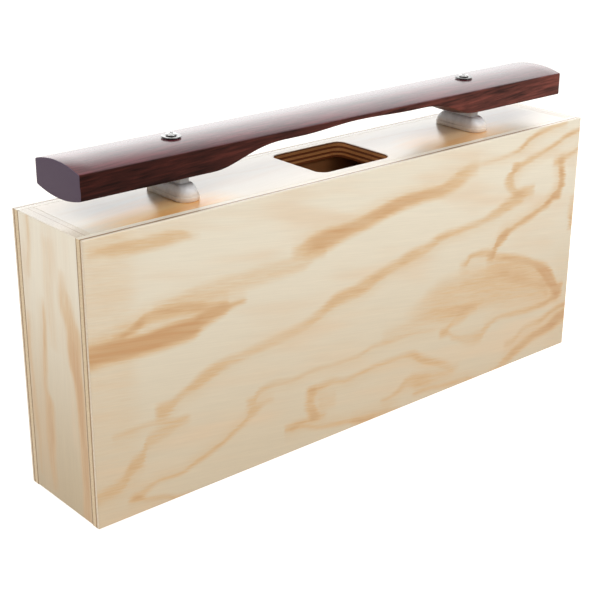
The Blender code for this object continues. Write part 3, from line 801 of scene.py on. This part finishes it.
# %% Shape of the bar
TOP_CROWN = 0.0044
UNDER_CROWN = 0.0044
BAR_ROUND = 0.0010
LEFT_SHOULDER, RIGHT_SHOULDER, THIN_MIDDLE = 0.0065, 0.0051, 0.0034
LEFT_UNDERCUT_X, RIGHT_UNDERCUT_X = PAD_X - 0.0185, PAD_X - 0.0111
UNDERCUT_RAMP = 0.0730
RAMP_LEAD = 1.28
ARCH_REACH = 0.0640
ARCH_ASIDE = 0.0060
CROWN_FADE = 1.7
bar_half_width = bar_high.y
bar_side_top = bar_high.z - TOP_CROWN
bar_side = bar_side_top - bar_low.z - UNDER_CROWN


def clamp(value):
    return min(1.0, max(0.0, value))


def half_wave(part):
    return (1 - math.cos(math.pi * clamp(part))) / 2


def undercut(x):
    """0 where the bar has its full depth, 1 over its shoulders, and a smooth change between."""
    reach = LEFT_UNDERCUT_X if x < 0 else RIGHT_UNDERCUT_X
    part = clamp((reach - abs(x)) / UNDERCUT_RAMP)
    return half_wave(1 - (1 - part) ** RAMP_LEAD)


def side_over(x):
    """Height of the bar's straight side. A second arch thins the middle below the shoulders."""
    shoulder = LEFT_SHOULDER if x < ARCH_ASIDE else RIGHT_SHOULDER
    arch = half_wave(1 - abs(x - ARCH_ASIDE) / ARCH_REACH)
    return bar_side - (bar_side - shoulder) * undercut(x) - (shoulder - THIN_MIDDLE) * arch


def blend(low, high, share):
    return low + (high - low) * share


def bar_upper(y):
    return bar_side_top + TOP_CROWN * (1 - (y / bar_half_width) ** 2)


def bar_lower(x, y):
    crown = UNDER_CROWN * (1 - undercut(x)) ** CROWN_FADE
    return bar_side_top - side_over(x) - crown * (1 - (y / bar_half_width) ** 2)


def rounded(before, corner, after, reach, steps):
    """Points of a curve that rounds off a corner, starting and ending reach away from it."""
    before, corner, after = Vector(before), Vector(corner), Vector(after)
    start = corner + (before - corner).normalized() * reach
    end = corner + (after - corner).normalized() * reach
    points = []
    for i in range(steps + 1):
        u = i / steps
        points.append(start * (1 - u) ** 2 + corner * 2 * u * (1 - u) + end * u * u)
    return points


def bar_outline(x, inset):
    """The bar's section at x, drawn in by inset where an end is eased."""
    half = bar_half_width
    top_z, low_z = bar_side_top, bar_lower(x, half)
    steps = 32
    run = half - 2 * BAR_ROUND
    rows = [run * (1 - 2 * i / steps) for i in range(steps + 1)]
    top = [Vector((y, bar_upper(y))) for y in rows]
    under = [Vector((y, bar_lower(x, y))) for y in reversed(rows)]
    mid = (top_z + low_z) / 2
    points = top + rounded(top[-1], (-half, top_z), (-half, mid), BAR_ROUND, 5)
    points += rounded((-half, mid), (-half, low_z), under[0], BAR_ROUND, 5)
    points += under + rounded(under[-1], (half, low_z), (half, mid), BAR_ROUND, 5)
    points += rounded((half, mid), (half, top_z), top[0], BAR_ROUND, 5)
    centre = (bar_high.z + bar_low.z) / 2
    tall = bar_high.z - bar_low.z
    return [(x, y * (1 - inset / half), centre + (z - centre) * (1 - 2 * inset / tall)) for y, z in points]


print("the undercut leaves", round((bar_upper(0) - bar_lower(0, 0)) * 1000, 1), "mm in the middle")

# %% [markdown]
# The two screw holes are cut by a Boolean modifier, which is applied at once so that the cutter can
# be deleted. A rounded end is made by a few outlines that draw in along a quarter circle.


# %% Helpers for meshes
def piece_from(name, bm, body, smooth=35):
    """Makes a shown piece from a bmesh and lets it ride on a body."""
    bmesh.ops.recalc_face_normals(bm, faces=bm.faces)
    mesh = bpy.data.meshes.new(name)
    bm.to_mesh(mesh)
    bm.free()
    mesh.shade_smooth()
    mesh.set_sharp_from_angle(angle=math.radians(smooth))
    piece = bpy.data.objects.new(name, mesh)
    bpy.context.scene.collection.objects.link(piece)
    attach(piece, body)
    return piece


def loft(loops, ring=False):
    """Skins a row of equal loops, and caps the ends or joins the last loop to the first."""
    bm = bmesh.new()
    rows = [[bm.verts.new(point) for point in loop] for loop in loops]
    pairs = list(zip(rows, rows[1:]))
    if ring:
        pairs.append((rows[-1], rows[0]))
    else:
        bm.faces.new(rows[0])
        bm.faces.new(rows[-1])
    for here, there in pairs:
        for i in range(len(here)):
            j = (i + 1) % len(here)
            bm.faces.new((here[i], here[j], there[j], there[i]))
    return bm


def lathe(profile, steps=96, place=(0.0, 0.0)):
    """Turns (radius, height) points round an upright axis. A profile off the axis closes as a ring."""
    bm = bmesh.new()
    verts = [bm.verts.new((radius, 0.0, height)) for radius, height in profile]
    edges = [bm.edges.new(pair) for pair in zip(verts, verts[1:])]
    if profile[0][0] > 0.0:
        edges.append(bm.edges.new((verts[-1], verts[0])))
    bmesh.ops.spin(
        bm,
        geom=verts + edges,
        cent=(0.0, 0.0, 0.0),
        axis=(0.0, 0.0, 1.0),
        angle=2 * math.pi,
        steps=steps,
        use_duplicate=False,
    )
    bmesh.ops.remove_doubles(bm, verts=bm.verts, dist=1e-7)
    bmesh.ops.translate(bm, verts=bm.verts, vec=(*place, 0.0))
    return bm


def carve(piece, bm):
    """Cuts a shape out of a piece, for good."""
    bmesh.ops.recalc_face_normals(bm, faces=bm.faces)
    mesh = bpy.data.meshes.new("cutter")
    bm.to_mesh(mesh)
    bm.free()
    cutter = bpy.data.objects.new("cutter", mesh)
    bpy.context.scene.collection.objects.link(cutter)
    modifier = piece.modifiers.new("cut", "BOOLEAN")
    modifier.operation = "DIFFERENCE"
    modifier.solver = "EXACT"
    modifier.object = cutter
    bpy.context.view_layer.update()
    cut_mesh = bpy.data.meshes.new_from_object(piece.evaluated_get(bpy.context.evaluated_depsgraph_get()))
    piece.modifiers.clear()
    piece.data = cut_mesh
    cut_mesh.set_sharp_from_angle(angle=math.radians(35))
    bpy.data.objects.remove(cutter)


print("mesh helpers ready")

# %% Build the bar
END_ROUND = 0.0009
BAR_HOLE = 0.0080
RAMP_STEPS, ARCH_STEPS = 40, 30


def half_bar(way, start):
    """Places and insets of the outlines on one half, from the bar's end to the arch's middle."""
    places = []
    for i in range(4, -1, -1):
        angle = math.pi / 2 * i / 4
        places.append((bar_high.x - END_ROUND * (1 - math.sin(angle)), END_ROUND * (1 - math.cos(angle))))
    places += [(blend(bar_high.x, start, i / 8), 0.0) for i in range(1, 8)]
    places += [(start - UNDERCUT_RAMP * i / RAMP_STEPS, 0.0) for i in range(RAMP_STEPS + 1)]
    ramp_end, arch_end = start - UNDERCUT_RAMP, ARCH_REACH + way * ARCH_ASIDE
    places += [(blend(ramp_end, arch_end, i / 3), 0.0) for i in (1, 2)]
    places = [(way * x, inset) for x, inset in places]
    places += [(ARCH_ASIDE + way * ARCH_REACH * (1 - i / ARCH_STEPS), 0.0) for i in range(ARCH_STEPS)]
    return places


all_places = half_bar(1, RIGHT_UNDERCUT_X) + [(ARCH_ASIDE, 0.0)] + half_bar(-1, LEFT_UNDERCUT_X)[::-1]
outlines = [bar_outline(x, inset) for x, inset in all_places]
tone_bar = piece_from("rosewood_bar", loft(outlines), BAR)
for side in (-1, 1):
    low, high = bar_low.z - 0.01, bar_high.z + 0.01
    profile = [(0.0, low), (BAR_HOLE / 2, low), (BAR_HOLE / 2, high), (0.0, high)]
    carve(tone_bar, lathe(profile, 48, (side * PAD_X, 0.0)))
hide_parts("tone_bar")
print("bar mesh has", len(tone_bar.data.vertices), "vertices")

# %% [markdown]
# ## Rosewood
# Rosewood is a dark red brown with nearly black streaks along the grain, and open pores that show
# as short dark dashes. A solid texture, stretched along the bar, makes the streaks of the top and
# the side meet at the corner, as in real wood. The sawn ends are sealed with a grey-violet lacquer
# that laps a little round the corner. The crown is polished to a clear gloss, and the planed sides
# are only oiled, so the gloss is masked by the direction of the surface.

# %% Rosewood material
rosewood = bpy.data.materials.new("rosewood_lacquered")
rosewood.use_nodes = True
t = Tree(rosewood.node_tree)
shader = rosewood.node_tree.nodes["Principled BSDF"]
coordinates = t.node("ShaderNodeTexCoord").outputs
place = coordinates["Object"]
ROSE_RED = (0.105, 0.026, 0.020)
ROSE_BROWN = (0.052, 0.014, 0.011)
ROSE_BLACK = (0.018, 0.0055, 0.0045)
CROWN_WOOD = (0.060, 0.016, 0.014)
SEALER = (0.118, 0.088, 0.122)
CROWN_LIGHT_TINT = (1.7, 1.15, 2.0)  # painted light and sheen on the crown: its wood is brightened and turned violet
STREAK_CLIMB = 0.045  # the streaks aren't quite level with the bar's edge
slow = t.noise(t.vector("MULTIPLY", place, (7.0, 20.0, 20.0)), detail=2.0)[1]
bend = t.vector("MULTIPLY", t.vector("SUBTRACT", slow, (0.5, 0.5, 0.5)), (0.0, 0.006, 0.005))
lean = t.math("MULTIPLY", t.separate(place)[0], -STREAK_CLIMB)
waved = t.vector("ADD", t.vector("ADD", place, bend), t.combine(z=lean))
broad = t.noise(t.vector("MULTIPLY", waved, (13.0, 95.0, 150.0)), detail=3.0, roughness=0.6)[0]
thin = t.noise(t.vector("MULTIPLY", waved, (42.0, 460.0, 560.0)), detail=3.0, roughness=0.6)[0]
figure = t.math("ADD", t.math("MULTIPLY", broad, 0.55), t.math("MULTIPLY", thin, 0.45))
wood = t.mix(t.step(figure, 0.36, 0.50), ROSE_BLACK, ROSE_BROWN)
wood = t.mix(t.step(figure, 0.48, 0.64), wood, ROSE_RED)
along = t.separate(place)[0]
# The wood grows lighter and redder towards the right end: painted light.
painted_red_rise = t.step(along, bar_low.x, bar_high.x, 0.64, 2.1)
painted_pale_rise = t.step(along, bar_low.x, bar_high.x, 0.62, 2.45)
plain_wood = wood
wood = t.mix(1.0, wood, t.combine(painted_red_rise, painted_pale_rise, painted_pale_rise), "MULTIPLY")
pores = t.noise(t.vector("MULTIPLY", place, (70.0, 1500.0, 1500.0)), detail=1.0)[0]
pore_mask = t.step(pores, 0.66, 0.74)
wood = t.mix(t.math("MULTIPLY", pore_mask, 0.75), wood, ROSE_BLACK)
end_distance = t.math("SUBTRACT", bar_high.x, t.math("ABSOLUTE", t.separate(place)[0]))
ragged = t.math("MULTIPLY", t.noise(t.vector("MULTIPLY", place, (90.0, 90.0, 90.0)))[0], 0.0012)
sealed = t.step(t.math("SUBTRACT", end_distance, ragged), 0.0004, 0.0001)
crown_face = t.step(t.separate(coordinates["Normal"])[2], 0.55, 0.90)
gloss = t.math("MULTIPLY", crown_face, t.math("SUBTRACT", 1.0, sealed))
# The crown's wood is brightened and turned violet against the sides: painted light and sheen.
lit_crown_wood = t.mix(1.0, t.mix(0.25, plain_wood, CROWN_WOOD), CROWN_LIGHT_TINT, "MULTIPLY")
wood = t.mix(crown_face, wood, lit_crown_wood)
t.put(shader.inputs["Base Color"], t.mix(sealed, wood, SEALER))
t.put(shader.inputs["Roughness"], t.step(sealed, 0.0, 1.0, 0.36, 0.55))
t.put(shader.inputs["Coat Weight"], gloss)
shader.inputs["Coat IOR"].default_value = 1.46
shader.inputs["Coat Roughness"].default_value = 0.18
shader.inputs["Specular IOR Level"].default_value = 0.05
bump = t.node("ShaderNodeBump")
bump.inputs["Strength"].default_value = 0.20
bump.inputs["Distance"].default_value = 0.0002
t.put(bump.inputs["Height"], t.math("SUBTRACT", t.math("MULTIPLY", thin, 0.25), pore_mask))
t.put(shader.inputs["Normal"], bump.outputs[0])
tone_bar.data.materials.clear()
tone_bar.data.materials.append(rosewood)
print("rosewood has", len(rosewood.node_tree.nodes), "nodes")

# %% [markdown]
# ## The support pads
# Each pad is one moulding: an upright foot, a body that domes inwards, and a narrow seat that
# follows the crown of the bar. A loft of round-cornered rectangles makes all three, and a small
# radius between them takes away the hard look of a plain loft.

# %% Shape of a pad
PAD_LENGTH = pad_high.y - pad_low.y
PAD_WIDTH = pad_high.x - pad_low.x
PAD_FOOT_Z = pad_low.z
SEAT_LENGTH = 0.0325
SEAT_WIDTH = 0.0098
SEAT_MIDDLE_Z = bar_low.z - 0.0003
SHOULDER_Z = SEAT_MIDDLE_Z - 0.0039
FOOT_HEIGHT = 0.0039
FOOT_STEP = 0.0008
DOME_SLACK = 0.75
PAD_BORE = 0.0050


def soft_rectangle(size_x, size_y, corner, arc_steps=10, side_steps=14):
    """Points of a rectangle with round corners, finer along its long sides."""
    points = []
    for quarter, (way_x, way_y) in enumerate(((1, 1), (-1, 1), (-1, -1), (1, -1))):
        centre_x = way_x * (size_x / 2 - corner)
        centre_y = way_y * (size_y / 2 - corner)
        for i in range(arc_steps + 1):
            angle = math.pi / 2 * (quarter + i / arc_steps)
            points.append((centre_x + corner * math.cos(angle), centre_y + corner * math.sin(angle)))
        if way_x != way_y:
            for i in range(1, side_steps):
                points.append((way_x * size_x / 2, centre_y * (1 - 2 * i / side_steps)))
    return points


def seat_z(y, lower=0.0):
    """Height of the seat, which follows the crown of the bar's underside."""
    return SEAT_MIDDLE_Z + UNDER_CROWN * (y / bar_half_width) ** 2 - lower


def pad_loops():
    """The pad's loops from the foot up to the seat and down through the bore."""

    def flat_loop(size_x, size_y, corner, z):
        return [(x, y, z) for x, y in soft_rectangle(size_x, size_y, corner)]

    top_x, top_y, top_corner = SEAT_WIDTH + 0.0020, SEAT_LENGTH + 0.0032, 0.0030
    foot_corner, ease = 0.0092, 0.0003
    loops = [
        flat_loop(PAD_WIDTH - 2 * ease, PAD_LENGTH - 2 * ease, foot_corner - ease, PAD_FOOT_Z),
        flat_loop(PAD_WIDTH, PAD_LENGTH, foot_corner, PAD_FOOT_Z + ease),
        flat_loop(PAD_WIDTH, PAD_LENGTH, foot_corner, PAD_FOOT_Z + FOOT_HEIGHT - 0.0008),
        flat_loop(PAD_WIDTH - 0.0003, PAD_LENGTH - 0.0003, foot_corner, PAD_FOOT_Z + FOOT_HEIGHT - 0.0003),
    ]
    steps = 14
    rise = SHOULDER_Z - PAD_FOOT_Z - FOOT_HEIGHT
    for i in range(steps + 1):
        angle = math.pi / 2 * i / steps
        drawn = (1 - math.cos(angle)) ** DOME_SLACK
        loops.append(
            flat_loop(
                blend(PAD_WIDTH - 2 * FOOT_STEP, top_x, drawn),
                blend(PAD_LENGTH - 2 * FOOT_STEP, top_y, drawn),
                blend(foot_corner - FOOT_STEP, top_corner, drawn),
                PAD_FOOT_Z + FOOT_HEIGHT + rise * math.sin(angle),
            )
        )
    loops.append(flat_loop(SEAT_WIDTH + 0.0006, SEAT_LENGTH + 0.0006, 0.0023, SHOULDER_Z + 0.0001))
    loops.append(flat_loop(SEAT_WIDTH, SEAT_LENGTH, 0.0020, SHOULDER_Z + 0.0006))
    rim = soft_rectangle(SEAT_WIDTH, SEAT_LENGTH, 0.0020)
    loops.append([(x, y, seat_z(y, 0.0004)) for x, y in rim])
    eased = soft_rectangle(SEAT_WIDTH - 0.0006, SEAT_LENGTH - 0.0006, 0.0018)
    loops.append([(x, y, seat_z(y)) for x, y in eased])
    bore = [(x * PAD_BORE / 2 / math.hypot(x, y), y * PAD_BORE / 2 / math.hypot(x, y)) for x, y in eased]
    for share in (0.25, 0.5, 0.75, 1.0):
        ring = [(blend(x, bx, share), blend(y, by, share)) for (x, y), (bx, by) in zip(eased, bore)]
        loops.append([(x, y, seat_z(y)) for x, y in ring])
    loops.append([(x, y, PAD_FOOT_Z) for x, y in bore])
    return loops


# %% Build the pads
elastomer = bpy.data.materials.new("pale_elastomer")
elastomer.use_nodes = True
t = Tree(elastomer.node_tree)
shader = elastomer.node_tree.nodes["Principled BSDF"]
place = t.node("ShaderNodeTexCoord").outputs["Object"]
ELASTOMER_PALE = (0.79, 0.79, 0.80)
ELASTOMER_GREY = (0.67, 0.66, 0.66)
FOOT_BOUNCE_TINT = (0.98, 0.85, 0.71)
mottle = t.noise(t.vector("MULTIPLY", place, (160.0, 160.0, 160.0)), detail=3.0)[0]
pale = t.mix(t.step(mottle, 0.35, 0.75), ELASTOMER_PALE, ELASTOMER_GREY)
# The foot is tinted warm: painted bounce light from the lit wood around it.
low = t.step(t.separate(place)[2], PAD_FOOT_Z + 0.003, PAD_FOOT_Z + 0.009, 1.0, 0.0)
t.put(shader.inputs["Base Color"], t.mix(low, pale, FOOT_BOUNCE_TINT, "MULTIPLY"))
t.put(shader.inputs["Roughness"], t.step(mottle, 0.3, 0.7, 0.34, 0.46))
shader.inputs["Subsurface Weight"].default_value = 0.25
shader.inputs["Subsurface Radius"].default_value = (0.004, 0.0035, 0.003)
shader.inputs["Subsurface Scale"].default_value = 1.0
bump = t.node("ShaderNodeBump")
bump.inputs["Strength"].default_value = 0.06
bump.inputs["Distance"].default_value = 0.0003
grit = t.noise(t.vector("MULTIPLY", place, (2500.0, 2500.0, 2500.0)), detail=1.0)[0]
t.put(bump.inputs["Height"], grit)
t.put(shader.inputs["Normal"], bump.outputs[0])

for side, x in (("left", -PAD_X), ("right", PAD_X)):
    bm = loft(pad_loops(), ring=True)
    bmesh.ops.translate(bm, verts=bm.verts, vec=(x, 0.0, 0.0))
    pad = piece_from(side + "_elastomer_pad", bm, STAND, 50)
    pad.data.materials.append(elastomer)
    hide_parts(side + "_support_pad")
print("pads are", round(PAD_LENGTH * 1000, 1), "mm across the bar")

# %% [markdown]
# ## Screws, washers and sleeves
# The pan head is a turned dome with a cross recess whose walls taper towards the bottom, as a
# driver leaves them. The washer is a stamped disc: rounded on the side that the punch entered. The
# screws are bright zinc and the washers a duller zinc, a metal with a low, slightly uneven roughness.

# %% Metal and rubber

RIGHT_WASHER_TONE = 0.6  # the right washer is darker than the left one


def zinc_material(name, light, dull, rim, right_tone):
    """Plated steel with an uneven film. Faces that don't face up take the darker rim colour, which is painted
    shade.
    """
    zinc = bpy.data.materials.new(name)
    zinc.use_nodes = True
    t = Tree(zinc.node_tree)
    shader = zinc.node_tree.nodes["Principled BSDF"]
    place = t.node("ShaderNodeTexCoord").outputs["Object"]
    film = t.noise(t.vector("MULTIPLY", place, (420.0, 420.0, 420.0)), detail=3.0)[0]
    # Pieces on the right side are darkened by the given share.
    share = t.step(t.separate(place)[0], -0.1, 0.1, 1.0, right_tone)
    plated = t.mix(t.step(film, 0.35, 0.70), light, dull)
    plated = t.mix(1.0, plated, t.combine(share, share, share), "MULTIPLY")
    upward = t.separate(t.node("ShaderNodeTexCoord").outputs["Normal"])[2]
    # Faces that don't face up take the darker rim colour: painted shade.
    t.put(shader.inputs["Base Color"], t.mix(t.step(upward, 0.45, 0.85), rim, plated))
    t.put(shader.inputs["Roughness"], t.step(film, 0.3, 0.7, 0.16, 0.32))
    shader.inputs["Metallic"].default_value = 1.0
    return zinc


bright_zinc = zinc_material("bright_zinc", (0.74, 0.735, 0.72), (0.50, 0.495, 0.485), (0.35, 0.345, 0.34), 1.0)
dull_zinc = zinc_material("dull_zinc", (0.40, 0.395, 0.39), (0.27, 0.265, 0.26), (0.17, 0.168, 0.165), RIGHT_WASHER_TONE)

rubber = bpy.data.materials.new("black_rubber")
rubber.use_nodes = True
t = Tree(rubber.node_tree)
shader = rubber.node_tree.nodes["Principled BSDF"]
place = t.node("ShaderNodeTexCoord").outputs["Object"]
bloom = t.noise(t.vector("MULTIPLY", place, (300.0, 300.0, 300.0)), detail=2.0)[0]
t.put(shader.inputs["Base Color"], t.mix(bloom, (0.018, 0.018, 0.018), (0.045, 0.044, 0.042)))
t.put(shader.inputs["Roughness"], t.step(bloom, 0.3, 0.7, 0.6, 0.8))
print("metal and rubber ready")

# %% Build the hardware
SHANK_RADIUS = 0.0022
HEAD_RIM = 0.0005
RECESS_DEPTH = 0.0010
RECESS_ARM = 0.0023
RECESS_HALF = 0.0006
WASHER_EASE = 0.0003
WASHER_BEND = 0.9  # years under a screw have bent it to the bar's crown


def cross_outline(arm, half):
    """A cross seen from above."""
    points = []
    for way_x, way_y in ((1, 0), (0, 1), (-1, 0), (0, -1)):
        for along, aside in ((arm, -half), (arm, half), (half, half)):
            points.append((along * way_x - aside * way_y, along * way_y + aside * way_x))
    return points


def make_screw(name, node, x):
    low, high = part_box(node)
    washer_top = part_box(node.replace("screw", "washer"))[1].z
    head_z = washer_top + 0.0003
    head = (high.y - low.y) / 2
    tall = high.z - head_z
    profile = [(0.0, low.z), (SHANK_RADIUS, low.z + 0.0035), (SHANK_RADIUS, head_z), (head - 0.0002, head_z)]
    profile.append((head, head_z + 0.0002))
    steps = 18
    for i in range(steps):
        angle = math.pi / 2 * i / steps
        profile.append((head * math.cos(angle) ** 0.7, head_z + HEAD_RIM + (tall - HEAD_RIM) * math.sin(angle)))
    profile.append((0.0, high.z))
    screw = piece_from(name, lathe(profile, 72, (x, 0.0)), STAND)
    loops = []
    for z, arm, half in (
        (high.z - RECESS_DEPTH, RECESS_ARM * 0.45, RECESS_HALF * 0.6),
        (high.z - RECESS_DEPTH * 0.7, RECESS_ARM * 0.8, RECESS_HALF * 0.8),
        (high.z + 0.0005, RECESS_ARM * 1.15, RECESS_HALF * 1.15),
    ):
        loops.append([(x + px, py, z) for px, py in cross_outline(arm, half)])
    carve(screw, loft(loops))
    return screw


def make_washer(name, node, x):
    low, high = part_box(node)
    rim = (high.y - low.y) / 2
    hole = SHANK_RADIUS + 0.0003
    e = WASHER_EASE
    profile = [(hole, low.z), (rim - e / 2, low.z), (rim, low.z + e / 2)]
    for i in range(6):
        angle = math.pi / 2 * i / 5
        profile.append((rim - e + e * math.cos(angle), high.z - e + e * math.sin(angle)))
    profile += [(hole + 0.0001, high.z), (hole, high.z - 0.0001)]
    bm = lathe(profile, 96, (x, 0.0))
    for vert in bm.verts:
        vert.co.z -= WASHER_BEND * TOP_CROWN * (vert.co.y / bar_half_width) ** 2
    return piece_from(name, bm, STAND)


def make_sleeve(name, node, x):
    low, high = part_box(node)
    outer = (high.y - low.y) / 2
    inner = SHANK_RADIUS + 0.0003
    e = 0.0001
    profile = [(inner, low.z), (outer - e, low.z), (outer, low.z + e), (outer, high.z - e)]
    profile += [(outer - e, high.z), (inner, high.z)]
    return piece_from(name, lathe(profile, 48, (x, 0.0)), STAND)


for side, x in (("left", -PAD_X), ("right", PAD_X)):
    for maker, name, node, material in (
        (make_screw, "_pan_screw", "_screw", bright_zinc),
        (make_washer, "_bent_washer", "_washer", dull_zinc),
        (make_sleeve, "_rubber_sleeve", "_screw_sleeve", rubber),
    ):
        piece = maker(side + name, side + node, x)
        piece.data.materials.clear()
        piece.data.materials.append(material)
        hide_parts(side + node)
print("hardware built on both sides")

# %% [markdown]
# ## Floor, world and lights
# The photograph is a product shot on white. The floor and the world show white to the camera, and
# the floor still darkens where the object shades it. The box's lacquered top and the crown of the
# bar mirror a very bright white sheet that stands behind the object and gets dimmer towards its
# upper edge. The sheet shows only in reflections, so it doesn't flood the floor. One soft key light
# from the upper front makes the panels a little brighter near their upper edge, and a weaker one
# opens up the left end.

# %% Floor and world
FLOOR_SIZE = 12.0


def sheet_object(name, size_x, size_y):
    """A flat rectangle that belongs to the studio and not to the object."""
    bm = bmesh.new()
    bmesh.ops.create_grid(bm, x_segments=1, y_segments=1, size=0.5)
    bmesh.ops.scale(bm, verts=bm.verts, vec=(size_x, size_y, 1.0))
    mesh = bpy.data.meshes.new(name)
    bm.to_mesh(mesh)
    bm.free()
    sheet = bpy.data.objects.new(name, mesh)
    bpy.context.scene.collection.objects.link(sheet)
    return sheet


def seen_directly(t):
    """1 for rays from the camera, mirrors and glass, which should meet plain white."""
    paths = t.node("ShaderNodeLightPath").outputs
    seen = t.math("MAXIMUM", paths["Is Camera Ray"], paths["Is Glossy Ray"])
    return t.math("MAXIMUM", seen, paths["Is Transmission Ray"])


floor = sheet_object("floor", FLOOR_SIZE, FLOOR_SIZE)
floor.location.z = -0.0004
floor_material = bpy.data.materials.new("white_floor")
floor_material.use_nodes = True
t = Tree(floor_material.node_tree)
shader = floor_material.node_tree.nodes["Principled BSDF"]
FLOOR_COLOUR = (0.70, 0.64, 0.56)
FLOOR_LIFT = 0.78
t.put(shader.inputs["Base Color"], colour(FLOOR_COLOUR))
shader.inputs["Roughness"].default_value = 0.9
shader.inputs["Specular IOR Level"].default_value = 0.0
t.put(shader.inputs["Emission Color"], (1.0, 1.0, 1.0, 1.0))
t.put(shader.inputs["Emission Strength"], t.math("MULTIPLY", seen_directly(t), FLOOR_LIFT))
floor.data.materials.append(floor_material)

world = bpy.data.worlds.new("studio")
world.use_nodes = True
bpy.context.scene.world = world
t = Tree(world.node_tree)
background = world.node_tree.nodes["Background"]
AMBIENT = 0.55
background.inputs["Color"].default_value = (1.0, 1.0, 1.0, 1.0)
lift = t.math("MULTIPLY", seen_directly(t), 1.0 - AMBIENT)
t.put(background.inputs["Strength"], t.math("ADD", lift, AMBIENT))
bpy.context.scene.view_settings.view_transform = "Standard"
print("floor and world are white")

# %% The bright sheet behind the object
SHEET_WIDTH, SHEET_HEIGHT = 6.0, 2.4
SHEET_DISTANCE = 2.0
SHEET_GLOW = 2.12
SHEET_LOW, SHEET_FULL_FROM = -0.2, 0.85  # heights between which the sheet brightens
SHEET_FULL_TO, SHEET_FADED = 1.3, 2.1  # heights between which it dims again
SHEET_LEFT, SHEET_RIGHT = -0.3, 0.6  # places along it between which it dims to the right
SHEET_LEFT_SHARE, SHEET_RIGHT_SHARE = 1.02, 0.92
glow_material = bpy.data.materials.new("bright_sheet")
glow_material.use_nodes = True
t = Tree(glow_material.node_tree)
shader = glow_material.node_tree.nodes["Principled BSDF"]
shader.inputs["Base Color"].default_value = (0.0, 0.0, 0.0, 1.0)
shader.inputs["Specular IOR Level"].default_value = 0.0
shader.inputs["Emission Color"].default_value = (1.0, 1.0, 1.0, 1.0)
height = t.separate(t.node("ShaderNodeNewGeometry").outputs["Position"])[2]
brightening = t.step(height, SHEET_LOW, SHEET_FULL_FROM, 0.5 * SHEET_GLOW, SHEET_GLOW)
dimming = t.step(height, SHEET_FULL_TO, SHEET_FADED, 1.0, 0.27)
aside = t.vector("DOT_PRODUCT", t.node("ShaderNodeNewGeometry").outputs["Position"], level)
falloff = t.step(aside, SHEET_LEFT, SHEET_RIGHT, SHEET_LEFT_SHARE, SHEET_RIGHT_SHARE)
evened = t.math("MULTIPLY", t.math("MULTIPLY", brightening, dimming), falloff)
t.put(shader.inputs["Emission Strength"], evened)
bright_sheet = sheet_object("bright_sheet", SHEET_WIDTH, SHEET_HEIGHT)
bright_sheet.rotation_euler = (math.pi / 2, 0.0, -CAMERA_AZIMUTH)
bright_sheet.location = (
    SHEET_DISTANCE * math.sin(CAMERA_AZIMUTH),
    SHEET_DISTANCE * math.cos(CAMERA_AZIMUTH),
    SHEET_HEIGHT / 2,
)
bright_sheet.data.materials.append(glow_material)
bright_sheet.visible_camera = False
bright_sheet.visible_diffuse = False
bright_sheet.visible_shadow = False
bright_sheet.visible_transmission = False
print("the bright sheet is", SHEET_DISTANCE, "m behind the object")


# %% Lights
def soft_light(name, place, target, size_x, size_y, power):
    """A rectangular lamp that faces a point and that the camera doesn't see."""
    lamp = bpy.data.lights.new(name, "AREA")
    lamp.shape = "RECTANGLE"
    lamp.size = size_x
    lamp.size_y = size_y
    lamp.energy = power
    holder = bpy.data.objects.new(name, lamp)
    holder.location = place
    aim = Vector(target) - Vector(place)
    holder.rotation_euler = aim.to_track_quat("-Z", "Y").to_euler()
    holder.visible_camera = False
    bpy.context.scene.collection.objects.link(holder)
    return holder


middle = (0.0, 0.0, BOX_HEIGHT)
soft_light("key", (0.45, -1.05, 1.25), middle, 0.9, 0.7, 11.3)
soft_light("left_fill", (-1.4, -0.1, 1.15), middle, 0.8, 0.8, 6.5)
print("two soft lights")

# %% Update the scene
bpy.context.view_layer.update()
